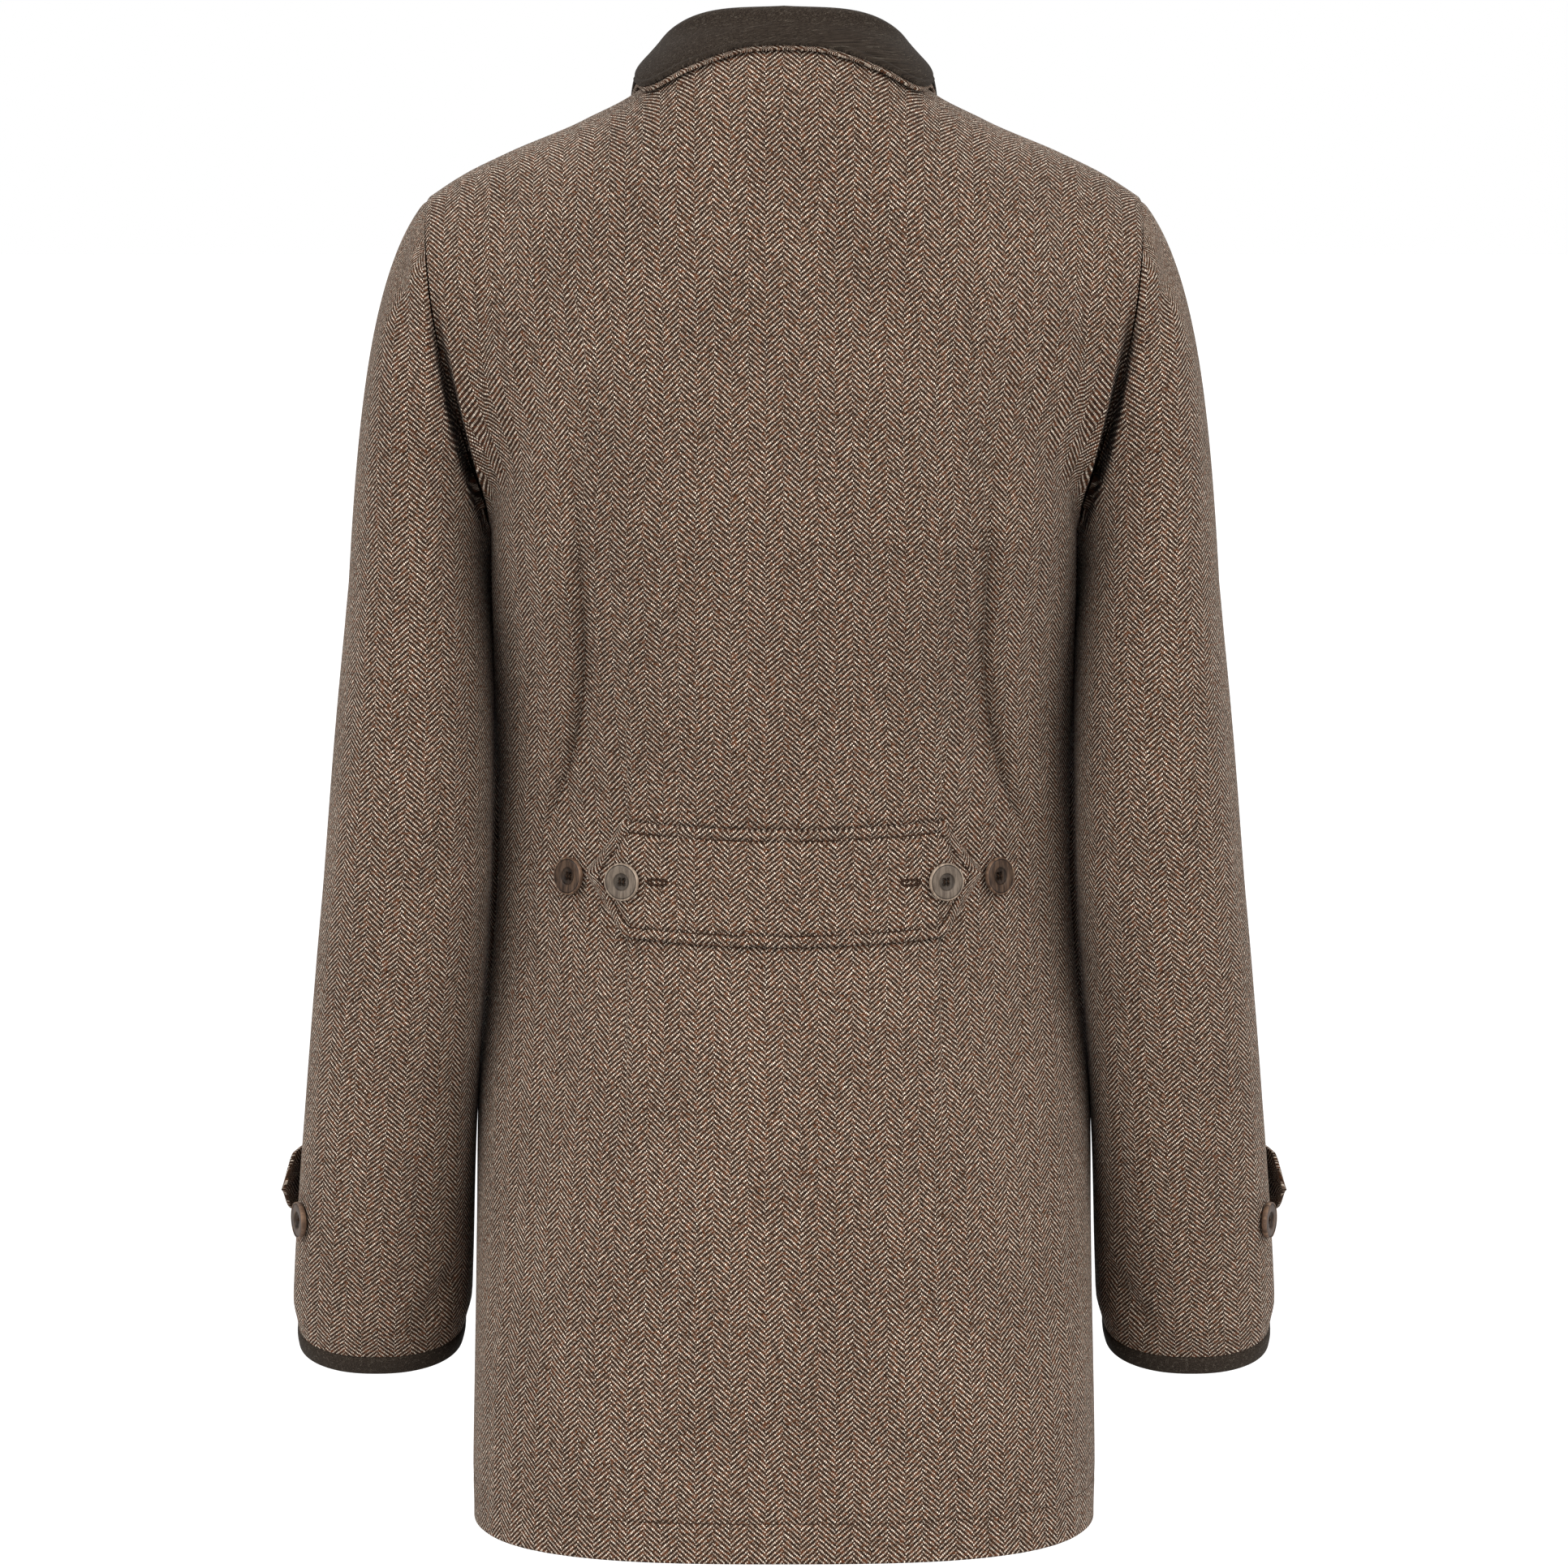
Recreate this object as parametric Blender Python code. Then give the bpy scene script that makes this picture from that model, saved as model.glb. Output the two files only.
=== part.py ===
"""Hip-length tweed jacket with a half belt, filled out as if worn, empty inside.

Sizes are in millimetres and become metres when a mesh is made.  Up is +Z, the
wearer faces +Y and the wearer's right is +X.  The origin lies midway between
the two points where the shoulder seams meet the neck.
"""
import math
from collections import namedtuple

import bmesh
import bpy
import numpy as np
from mathutils import Vector

MM = 0.001
ROUNDING = 1e-9
BACK, FRONT = -1.0, 1.0

TWEED_WALL = 2.2
FELT_WALL = 2.2
UNDER_COLLAR_WALL = 1.4
SEAM_GAP = 0.3
LAID_GAP = 0.6
ARMHOLE_GAP = 0.5

# Body sections from hem to underarm
Section = namedtuple("Section", "z half_width back front side roundness")
BODY = (
    Section(-764.0, 168.6, -142.0, 136.0, 0.0, 2.9),
    Section(-690.0, 167.8, -137.0, 133.0, 8.0, 2.7),
    Section(-610.0, 167.4, -128.0, 128.0, 32.0, 2.3),
    Section(-530.0, 166.8, -110.0, 120.0, 44.0, 2.05),
    Section(-470.0, 162.4, -94.0, 114.0, 44.0, 2.0),
    Section(-420.0, 159.6, -86.0, 112.0, 42.0, 2.0),
    Section(-360.0, 158.4, -88.0, 113.0, 40.0, 2.0),
    Section(-300.0, 158.8, -97.0, 118.0, 32.0, 2.15),
    Section(-268.0, 158.6, -102.0, 121.5, 20.0, 2.3),
    Section(-235.0, 156.0, -107.0, 124.0, 5.0, 2.5),
)
HEM_Z = BODY[0].z
UNDERARM = BODY[-1]
LOWER_ROW_HEIGHTS = (
    -764, -710, -658, -606, -556, -508, -468, -440,
    -414, -390, -364, -334, -300, -268, -235,
)

# Ridge over the shoulders, from the centre plane to the shoulder tip
RidgePoint = namedtuple("RidgePoint", "x z")
RIDGE = (
    RidgePoint(0.0, 49.0),
    RidgePoint(20.0, 47.0),
    RidgePoint(45.0, 32.0),
    RidgePoint(71.0, 2.5),
    RidgePoint(105.0, -17.0),
    RidgePoint(147.0, -35.0),
    RidgePoint(172.0, -47.5),
    RidgePoint(189.5, -59.0),
)
RIDGE_Y = 0.0
TIP_X, TIP_Z = RIDGE[-1]
SHOULDER_NORMAL = (0.45, 0.0, 0.893)
ROW_SPREAD = 1.6
EDGE_PULL = 2.1

# Upper body, behind and in front
Upper = namedtuple("Upper", "centre_roundness edge_roundness armhole_depth neck_y")
UPPER = {BACK: Upper(3.1, 2.4, 60.0, -69.0), FRONT: Upper(1.4, 2.3, 54.0, 84.0)}
ARMHOLE_INSET_POWER = 1.6
NECK_TURN = 0.375
BELOW_RIDGE = 0.99

# Soft fold down each side of the back
Fold = namedtuple("Fold", "z x trough ridge")
BACK_FOLD = (
    Fold(-470.0, 160.0, 0.0, 0.0),
    Fold(-425.0, 148.0, 1.5, 0.0),
    Fold(-396.0, 131.0, 4.0, 1.5),
    Fold(-369.0, 117.0, 6.0, 3.0),
    Fold(-316.0, 106.0, 6.5, 4.0),
    Fold(-248.0, 107.0, 4.5, 3.0),
    Fold(-190.0, 112.0, 1.5, 1.0),
    Fold(-140.0, 118.0, 0.0, 0.0),
)
FOLD_TROUGH_WIDTH = 15.0
FOLD_RIDGE_WIDTH = 17.0
FOLD_RIDGE_OFFSET = 28.0
FOLD_FADE = 6.0

# Panel grids
BACK_NECK_COLUMNS = 6
BACK_SHOULDER_COLUMNS = 8
FRONT_NECK_COLUMNS = 5
FRONT_SHOULDER_COLUMNS = 6
UPPER_ROWS = 9
LAP = 18.0
LAP_SINK = TWEED_WALL + LAID_GAP
LAP_SINK_FROM = 64.0
LAP_SINK_FULL = 34.0

# Sleeve rings below the armhole
Ring = namedtuple("Ring", "z x y half_width half_depth tilt")
SLEEVE = (
    Ring(-262.0, 197.0, 5.0, 37.0, 66.0, 0.0),
    Ring(-343.0, 198.8, 3.0, 42.6, 61.0, 2.0),
    Ring(-424.0, 203.0, 5.0, 45.3, 57.0, 5.0),
    Ring(-532.0, 212.6, 20.0, 46.2, 54.0, 9.0),
    Ring(-645.0, 219.9, 43.0, 49.0, 52.0, 13.0),
    Ring(-675.0, 221.6, 50.0, 49.2, 51.5, 14.0),
)
SLEEVE_ROUNDNESS = 2.25
SLEEVE_COLUMNS = 20
CAP_ROWS = 6
ARM_ROWS = 8
CAP_START_PULL = 0.75
CAP_END_PULL = 0.85
CAP_OUT = 0.67
CAP_SPREAD = 0.45
CAP_FALL = 0.76
CAP_ARRIVE_OUT = 0.05
BINDING_DEPTH = 10.0

# Collar stations from centre back to centre front
Station = namedtuple("Station", "share fold_out fold_z")
COLLAR = (
    Station(0.0, -1.5, 41.0),
    Station(0.14, -3.0, 40.0),
    Station(0.28, -6.5, 34.0),
    Station(0.42, -9.5, 21.5),
    Station(0.60, -6.5, 2.5),
    Station(0.80, -1.0, -31.0),
    Station(1.0, 2.0, -66.0),
)
COLLAR_COLUMNS = 28
COLLAR_BACK_SHARE = 0.42
COLLAR_FRONT_END = 0.14
COLLAR_CLEAR = 5.4
COLLAR_FRONT_CLEAR = 7.0
COLLAR_CLEAR_SPAN = 0.12
LEAF_SIDE_TURN = 0.418
LEAF_BACK_Y = -74.5
LEAF_POINT_TURN = 0.24
LEAF_POINT_LIFT = 0.28
COLLAR_CENTRE_Y = 4.0
STAND_RISE = 2.0
STAND_INSET = 1.0
FOLD_HALF_WIDTH = 3.6
FOLD_DROP = 4.5
FOLD_ROUND_OUT = 0.72
FOLD_ROUND_DROP = 0.3
LEAF_BULGE = 0.4
UNDER_COLLAR_FROM = 0.55
UNDER_COLLAR_GAP = 0.8
UNDER_COLLAR_RIM = 3.2

# Half belt
BELT_Z = -416.5
BELT_HALF_HEIGHT = 30.5
BELT_CORNER_X = 84.0
BELT_TIP_X = 103.5
BELT_TIP_HALF_HEIGHT = 1.2
BELT_SAG = 2.6
BELT_WALL = 3.0
BELT_COLUMNS = 13
BELT_END_COLUMNS = 2
BELT_ROWS = 3

# Cuff tabs
TAB_Z = -592.0
TAB_HALF_HEIGHT = 16.5
TAB_TIP_HALF_HEIGHT = 1.0
TAB_FROM = -84.0
TAB_TO = 6.0
TAB_BUTTON = -40.0
TAB_POINT_SPAN = 15.0
TAB_POINT_STEP = 7.0
TAB_FLARE = 9.5
TAB_WALL = 2.4
TAB_COLUMNS = 10
TAB_ROWS = 2

# Horn buttons
BUTTON_SEGMENTS = 16
BUTTON_PROFILE = ((0.0, 0.0), (8.6, 0.0), (10.0, 1.6), (9.0, 3.6), (6.6, 2.3), (0.0, 2.1))
BUTTON_HOLE_COUNT = 4
BUTTON_HOLE_RADIUS = 0.9
BUTTON_HOLE_OFFSET = 1.7
BUTTON_HOLE_SIDES = 5
BUTTON_DRILL_LENGTH = 20.0
BUTTON_WELD = 0.05
BeltButton = namedtuple("BeltButton", "place x raised")
BELT_BUTTONS = (
    BeltButton("inner", 82.5, LAID_GAP + BELT_WALL),
    BeltButton("outer", 112.5, 0.0),
)
BELT_BUTTON_Z = -415.2
SLEEVE_BUTTON_Z = -607.0
SLEEVE_BUTTON_ANGLE = 27.0
SLEEVE_BUTTON_SINK = 0.4
FRONT_BUTTON_TOP = -124.0
FRONT_BUTTON_STEP = 107.0
FRONT_BUTTON_COUNT = 5

TWEED_COLOUR = (0.20, 0.155, 0.125, 1.0)
FELT_COLOUR = (0.042, 0.028, 0.021, 1.0)
HORN_COLOUR = (0.11, 0.085, 0.068, 1.0)
CLOTH_ROUGHNESS = 0.95
HORN_ROUGHNESS = 0.35


def smooth_between(rows, column, at):
    """Value of a table's column at given heights, on a smooth curve through its rows."""
    rows = sorted(rows, key=lambda row: row[0])
    places = np.array([row[0] for row in rows])
    values = np.array([getattr(row, column) for row in rows])
    slopes = np.gradient(values, places)
    at = np.clip(at, places[0], places[-1])
    index = np.clip(np.searchsorted(places, at) - 1, 0, len(places) - 2)
    span = places[index + 1] - places[index]
    t = (at - places[index]) / span
    start = values[index] * (1 + 2 * t) + slopes[index] * span * t
    end = values[index + 1] * (3 - 2 * t) + slopes[index + 1] * span * (t - 1)
    return start * (1 - t) ** 2 + end * t**2


def step(at):
    """Smooth rise from 0 to 1 while its argument goes from 0 to 1."""
    t = np.clip(at, 0.0, 1.0)
    return t * t * (3.0 - 2.0 * t)


def reach(angle, power):
    """Radius of a unit superellipse at an angle."""
    return (np.abs(np.cos(angle)) ** power + np.abs(np.sin(angle)) ** power) ** (-1.0 / power)


def back_fold(x, z):
    """Depth of the soft side folds of the back, inwards positive."""
    away = np.abs(x) - smooth_between(BACK_FOLD, "x", z)
    trough = smooth_between(BACK_FOLD, "trough", z) * np.exp(-((away / FOLD_TROUGH_WIDTH) ** 2))
    ridge_place = (away - FOLD_RIDGE_OFFSET) / FOLD_RIDGE_WIDTH
    return trough - smooth_between(BACK_FOLD, "ridge", z) * np.exp(-(ridge_place**2))


def lower_torso(turn, z, side):
    """Body below the underarm, from the centre line (turn 0) to the side seam (turn 1)."""
    power = smooth_between(BODY, "roundness", z)
    half_width = smooth_between(BODY, "half_width", z)
    middle = smooth_between(BODY, "back" if side == BACK else "front", z)
    seam = smooth_between(BODY, "side", z)
    angle = turn * (0.5 * math.pi - 0.5 * SEAM_GAP / np.abs(middle - seam))
    radius = reach(angle, power)
    x = half_width * radius * np.sin(angle)
    y = seam + (middle - seam) * radius * np.cos(angle)
    return np.stack([x, y, z + 0.0 * turn], axis=-1)


def armhole(angle, side):
    """Armhole seam from the shoulder tip (0) to the underarm (pi), behind or in front."""
    fall = 0.5 * (1.0 - np.cos(angle))
    x = TIP_X - (TIP_X - UNDERARM.half_width) * fall**ARMHOLE_INSET_POWER
    y = RIDGE_Y + (UNDERARM.side - RIDGE_Y) * fall + side * UPPER[side].armhole_depth * np.sin(angle)
    return np.stack([x, y, TIP_Z + (UNDERARM.z - TIP_Z) * fall], axis=-1)


def shoulder_power(turn, side):
    """Roundness of the arc that rises to the ridge at each turn."""
    centre = UPPER[side].centre_roundness
    return centre + (UPPER[side].edge_roundness - centre) * turn**2


def rounded_shoulder(turn, lift, side):
    """Form above the underarm: superellipse arcs from the underarm row up to the ridge."""
    low = lower_torso(turn, UNDERARM.z + 0.0 * lift, side)
    power = shoulder_power(turn, side)
    rise = 1.0 - (1.0 - lift) ** ROW_SPREAD
    lean = 1.0 - (1.0 - rise**power) ** (1.0 / power)
    x = low[..., 0] + (TIP_X * turn - low[..., 0]) * lift
    y = low[..., 1] + (RIDGE_Y + 0.5 * side * SEAM_GAP - low[..., 1]) * lean
    z = low[..., 2] + (smooth_between(RIDGE, "z", TIP_X * turn) - low[..., 2]) * rise
    return np.stack([x, y, z], axis=-1)


def upper_torso(turn, lift, side):
    """Shoulder form drawn out to the armhole seam at its outer edge."""
    seam = armhole(math.pi * (1.0 - lift), side)
    pull = seam - rounded_shoulder(np.ones_like(turn), lift, side)
    return rounded_shoulder(turn, lift, side) + turn[..., None] ** EDGE_PULL * pull


def torso(turn, lift, side):
    """Half of the body; lift runs from -1 at the hem through 0 at the underarm to 1 at the ridge."""
    turn, lift = np.broadcast_arrays(np.asarray(turn, float), np.asarray(lift, float))
    low = lower_torso(np.abs(turn), UNDERARM.z + (UNDERARM.z - HEM_Z) * np.minimum(lift, 0.0), side)
    high = upper_torso(np.abs(turn), np.clip(lift, 0.0, 1.0), side)
    points = np.where(lift[..., None] > 0.0, high, low)
    if side == BACK:
        points[..., 1] += back_fold(points[..., 0], points[..., 2]) * (1.0 - np.abs(turn) ** FOLD_FADE)
    points[..., 0] *= np.where(turn < 0.0, -1.0, 1.0)
    return points


def plan_lift(turn, side, half_turn, depth):
    """Lift at which the body follows an ellipse in plan, or reaches the ridge outside it."""
    low = lower_torso(np.abs(turn), UNDERARM.z + 0.0 * turn, side)[..., 1]
    wanted = RIDGE_Y + (depth - RIDGE_Y) * np.sqrt(1.0 - np.clip(np.abs(turn) / half_turn, 0.0, 1.0) ** 2)
    power = shoulder_power(turn, side)
    still = np.clip((wanted - RIDGE_Y) / (low - RIDGE_Y), 0.0, 1.0)
    rise = (1.0 - still**power) ** (1.0 / power)
    return 1.0 - (1.0 - rise) ** (1.0 / ROW_SPREAD)


def neck_lift(turn, side):
    """Lift of the neckline, or of the shoulder seam outside it, at each turn."""
    return plan_lift(turn, side, NECK_TURN, UPPER[side].neck_y)


def lift_of(z):
    """Lift of a height below the underarm."""
    return (z - UNDERARM.z) / (UNDERARM.z - HEM_Z)


def turn_of(x, z):
    """Turn of the back point that lies at x on the section at height z."""
    power = smooth_between(BODY, "roundness", z)
    share = (np.abs(x) / smooth_between(BODY, "half_width", z)) ** power
    return np.sign(x) * np.arctan((share / (1.0 - share)) ** (1.0 / power)) / (0.5 * math.pi)


def lap_turn(lift):
    """Turn at which the front edge lies past the centre line."""
    width = smooth_between(BODY, "half_width", UNDERARM.z + (UNDERARM.z - HEM_Z) * np.minimum(lift, 0.0))
    slope = width * 0.5 * math.pi
    return LAP / (slope + (TIP_X - slope) * np.maximum(lift, 0.0))


def normals(points):
    """Unit normals of a grid of points, from the steps along its rows and columns."""
    across = np.cross(np.gradient(points, axis=0), np.gradient(points, axis=1))
    return across / np.linalg.norm(across, axis=-1, keepdims=True)


def normal_at(surface, u, v, small=0.005):
    """Unit normal of a surface function at given parameters."""
    along_u = surface(u + small, v) - surface(u - small, v)
    along_v = surface(u, v + small) - surface(u, v - small)
    across = np.cross(along_u, along_v)
    return across / np.linalg.norm(across, axis=-1, keepdims=True)


def back_surface(turn, lift):
    """Whole back, turn running from -1 at the left side to 1 at the right side."""
    return torso(turn, lift, BACK)


def front_surface(turn, lift):
    """Right half of the front and, at negative turns, the lap past the centre line."""
    return torso(turn, lift, FRONT)


def sleeve_ring(angle, z):
    """Right sleeve below the armhole; angle 0 is the outside and a quarter turn is behind."""
    radius = reach(angle, SLEEVE_ROUNDNESS)
    out = smooth_between(SLEEVE, "half_width", z) * radius * np.cos(angle)
    behind = smooth_between(SLEEVE, "half_depth", z) * radius * np.sin(angle)
    tilt = np.radians(smooth_between(SLEEVE, "tilt", z))
    x = smooth_between(SLEEVE, "x", z) + out
    y = smooth_between(SLEEVE, "y", z) - behind * np.cos(tilt)
    return np.stack([x, y, z - behind * np.sin(tilt)], axis=-1)


def sleeve_cap(angle, share):
    """Right sleeve head: curves that leave the armhole outwards and turn down into the arm."""
    side = np.where(np.sin(angle) >= 0.0, BACK, FRONT)[..., None]
    folded = np.arccos(np.clip(np.cos(angle), -1.0, 1.0))
    start = np.where(side == BACK, armhole(folded, BACK), armhole(folded, FRONT))
    start = start + np.array([ARMHOLE_GAP, 0.0, 0.0])
    end = sleeve_ring(angle, np.full_like(angle, SLEEVE[0].z))
    span = np.linalg.norm(end - start, axis=-1, keepdims=True)
    level = np.zeros_like(angle)
    leave = np.stack([level + CAP_OUT, -CAP_SPREAD * np.sin(angle), level - CAP_FALL], axis=-1)
    arrive = np.stack([level + CAP_ARRIVE_OUT, level, level - 1.0], axis=-1)
    t = share[..., None]
    begin = start * (1 + 2 * t) + CAP_START_PULL * span * leave * t
    finish = end * (3 - 2 * t) + CAP_END_PULL * span * arrive * (t - 1)
    return begin * (1 - t) ** 2 + finish * t**2


def tab_surface(angle, rise):
    """Cuff tab on the outside of the right sleeve, standing off towards its point."""
    angle, rise = np.broadcast_arrays(np.asarray(angle, float), np.asarray(rise, float))
    from_point = np.clip((TAB_TO - angle) / TAB_POINT_SPAN, 0.0, 1.0)
    pointed = 0.5 * (step(from_point) + from_point)
    height = TAB_TIP_HALF_HEIGHT + (TAB_HALF_HEIGHT - TAB_TIP_HALF_HEIGHT) * pointed
    z = TAB_Z + rise * height
    turn = np.radians(angle)
    points = sleeve_ring(turn, z)
    outwards = -normal_at(sleeve_ring, turn, z)
    free = np.clip((angle - TAB_BUTTON) / (TAB_TO - TAB_BUTTON), 0.0, 1.0)
    return points, outwards, TAB_FLARE * free**2


def collar_line(share, column):
    """Collar table column at shares of the way from centre back to centre front."""
    return smooth_between(COLLAR, column, share)


def neck_point(share):
    """Neck seam from centre back (0) round to the end of the collar at the front (1)."""
    behind = NECK_TURN * np.sin(0.5 * math.pi * np.clip(share / COLLAR_BACK_SHARE, 0.0, 1.0))
    front_share = np.clip((share - COLLAR_BACK_SHARE) / (1.0 - COLLAR_BACK_SHARE), 0.0, 1.0)
    before = NECK_TURN * np.cos(0.5 * math.pi * front_share * (1.0 - COLLAR_FRONT_END))
    back_points = torso(behind, neck_lift(behind, BACK), BACK)
    front_points = torso(before, neck_lift(before, FRONT), FRONT)
    return np.where(share[..., None] < COLLAR_BACK_SHARE, back_points, front_points)


def collar_edge(share):
    """Lower edge of the collar leaf, laid just clear of the body beneath it."""
    quarter = 0.5 * math.pi * np.clip(share / COLLAR_BACK_SHARE, 0.0, 1.0)
    turn = LEAF_SIDE_TURN * np.sin(quarter)
    lift = plan_lift(turn, BACK, LEAF_SIDE_TURN, LEAF_BACK_Y)
    facing = normal_at(back_surface, turn, np.minimum(lift, BELOW_RIDGE))
    behind = torso(turn, lift, BACK) + COLLAR_CLEAR * facing
    quarter = 0.5 * math.pi * np.clip((share - COLLAR_BACK_SHARE) / (1.0 - COLLAR_BACK_SHARE), 0.0, 1.0)
    turn = LEAF_POINT_TURN + (LEAF_SIDE_TURN - LEAF_POINT_TURN) * np.cos(quarter)
    lift = 1.0 - (1.0 - LEAF_POINT_LIFT) * np.sin(quarter)
    past_shoulder = step((share - COLLAR_BACK_SHARE) / COLLAR_CLEAR_SPAN)
    clear = COLLAR_CLEAR + past_shoulder * (COLLAR_FRONT_CLEAR - COLLAR_CLEAR)
    facing = -normal_at(front_surface, turn, np.minimum(lift, BELOW_RIDGE))
    before = torso(turn, lift, FRONT) + clear[..., None] * facing
    return np.where(share[..., None] < COLLAR_BACK_SHARE, behind, before)


def collar_sections(share):
    """Collar cross-sections: up the stand, over the fold and down the leaf."""
    base = neck_point(share)
    radial = base * np.array([1.0, 1.0, 0.0]) - np.array([0.0, COLLAR_CENTRE_Y, 0.0])
    radial = radial / np.linalg.norm(radial, axis=-1, keepdims=True)
    up = np.array([0.0, 0.0, 1.0])
    fold = base + radial * collar_line(share, "fold_out")[..., None]
    fold[..., 2] = collar_line(share, "fold_z")
    foot = base + up * STAND_RISE - radial * STAND_INSET
    inner = fold - radial * FOLD_HALF_WIDTH - up * FOLD_DROP
    outer = fold + radial * FOLD_HALF_WIDTH - up * FOLD_DROP
    round_out = radial * FOLD_ROUND_OUT * FOLD_HALF_WIDTH
    near_in = fold - round_out - up * FOLD_ROUND_DROP * FOLD_DROP
    near_out = fold + round_out - up * FOLD_ROUND_DROP * FOLD_DROP
    edge = collar_edge(share)
    middle = 0.5 * (outer + edge) + radial * LEAF_BULGE
    rows = [foot, 0.5 * (foot + inner), inner, near_in, fold, near_out, outer, middle, edge]
    return np.stack(rows, axis=-2)


def mirrored(points):
    """The same points on the other side of the centre plane."""
    return points * np.array([-1.0, 1.0, 1.0])


def make_material(name, colour, roughness):
    """One plain finish."""
    finish = bpy.data.materials.new(name)
    finish.use_nodes = True
    shader = finish.node_tree.nodes["Principled BSDF"]
    shader.inputs["Base Color"].default_value = colour
    shader.inputs["Roughness"].default_value = roughness
    shader.inputs["Metallic"].default_value = 0.0
    finish.diffuse_color = colour
    return finish


def add_object(name, mesh, finish, parent):
    """Object for a mesh, hung on the garment's empty."""
    made = bpy.data.objects.new(name, mesh)
    mesh.materials.append(finish)
    bpy.context.scene.collection.objects.link(made)
    made.parent = parent
    return made


def wall_faces(rows, columns, closed):
    """Index quads of a wall whose first grid is the inside and second the outside."""
    index = np.arange(2 * rows * columns).reshape(2, rows, columns)
    inner, outer = index
    quads = []
    for row in range(rows if closed else rows - 1):
        here, after = row, (row + 1) % rows
        for left in range(columns - 1):
            right = left + 1
            quads.append((inner[here, left], inner[here, right], inner[after, right], inner[after, left]))
            quads.append((outer[here, left], outer[after, left], outer[after, right], outer[here, right]))
        for rim in (0, columns - 1):
            quads.append((inner[here, rim], inner[after, rim], outer[after, rim], outer[here, rim]))
    for end in () if closed else (0, rows - 1):
        for left in range(columns - 1):
            right = left + 1
            quads.append((inner[end, left], inner[end, right], outer[end, right], outer[end, left]))
    return [tuple(map(int, quad)) for quad in quads]


def add_wall(name, inside, outside, finish, parent, closed=False):
    """Closed wall between two grids of points; closed joins the last row to the first."""
    rows, columns = inside.shape[:2]
    points = np.concatenate([inside.reshape(-1, 3), outside.reshape(-1, 3)]) * MM
    mesh = bpy.data.meshes.new(name)
    mesh.from_pydata(points.tolist(), [], wall_faces(rows, columns, closed))
    work = bmesh.new()
    work.from_mesh(mesh)
    bmesh.ops.recalc_face_normals(work, faces=work.faces)
    for face in work.faces:
        face.smooth = True
    work.to_mesh(mesh)
    work.free()
    return add_object(name, mesh, finish, parent)


def panel_turns(neck_columns, shoulder_columns):
    """Columns of half a panel, close together where the neckline turns up to the shoulder."""
    neck = NECK_TURN * np.sin(np.linspace(0.0, 0.5 * math.pi, neck_columns + 1))
    return np.concatenate([neck, np.linspace(NECK_TURN, 1.0, shoulder_columns + 1)[1:]])


def panel_lifts(turns, side):
    """Rows of a panel from the hem to the neckline or shoulder seam, for each column."""
    low = lift_of(np.array(LOWER_ROW_HEIGHTS, float))
    high = neck_lift(turns, side)[:, None] * np.linspace(0.0, 1.0, UPPER_ROWS + 1)[1:]
    return np.concatenate([np.repeat(low[None], len(turns), axis=0), high], axis=1)


def seam_normals(outwards, turns):
    """Normals of a panel with its side and shoulder seams facing as their neighbours do."""
    for column in np.flatnonzero(np.abs(turns) == 1.0):
        outwards[column, : len(LOWER_ROW_HEIGHTS)] = (turns[column], 0.0, 0.0)
    for column in np.flatnonzero(np.abs(turns) >= NECK_TURN - ROUNDING):
        facing = np.array(SHOULDER_NORMAL) * np.array([np.sign(turns[column]), 1.0, 1.0])
        outwards[column, -1] = facing / np.linalg.norm(facing)
    return outwards


def build_back(finish, parent):
    """Back panel, side seam to side seam."""
    half = panel_turns(BACK_NECK_COLUMNS, BACK_SHOULDER_COLUMNS)
    turns = np.concatenate([-half[:0:-1], half])
    points = back_surface(turns[:, None], panel_lifts(turns, BACK))
    outwards = seam_normals(normals(points), turns)
    add_wall("back", points - TWEED_WALL * outwards, points, finish, parent)


def build_fronts(finish, parent):
    """Right front, and the left front that runs beneath its edge."""
    turns = panel_turns(FRONT_NECK_COLUMNS, FRONT_SHOULDER_COLUMNS)
    turns = np.concatenate([[-lap_turn(0.0)], turns])
    lifts = panel_lifts(turns, FRONT)
    grid_turns = np.repeat(turns[:, None], lifts.shape[1], axis=1)
    grid_turns[0] = -lap_turn(lifts[0])
    points = front_surface(grid_turns, lifts)
    outwards = seam_normals(-normals(points), turns)
    add_wall("front_right", points - TWEED_WALL * outwards, points, finish, parent)
    sink = LAP_SINK * step((LAP_SINK_FROM - points[..., 0]) / (LAP_SINK_FROM - LAP_SINK_FULL))
    under = points - sink[..., None] * outwards
    add_wall("front_left", mirrored(under - TWEED_WALL * outwards), mirrored(under), finish, parent)


def sleeve_grid():
    """Points and normals of the right sleeve, from the armhole to the cuff."""
    angles = np.linspace(0.0, 2.0 * math.pi, SLEEVE_COLUMNS, endpoint=False)
    cap_shares = np.linspace(0.0, 1.0, CAP_ROWS + 1)
    cap = sleeve_cap(*np.meshgrid(angles, cap_shares, indexing="ij"))
    heights = np.linspace(SLEEVE[0].z, SLEEVE[-1].z, ARM_ROWS + 1)[1:]
    arm = sleeve_ring(*np.meshgrid(angles, heights, indexing="ij"))
    points = np.concatenate([cap, arm], axis=1)
    wrapped = np.concatenate([points[-1:], points, points[:1]])
    outwards = normals(wrapped)[1:-1]
    middle = points.mean(axis=0, keepdims=True)
    outwards = outwards * np.sign(np.sum(outwards * (points - middle), axis=-1, keepdims=True))
    rim = (points[:, 0] - middle[:, 0]) * np.array([0.0, 1.0, 1.0])
    outwards[:, 0] = rim / np.linalg.norm(rim, axis=-1, keepdims=True)
    return points, outwards


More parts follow.
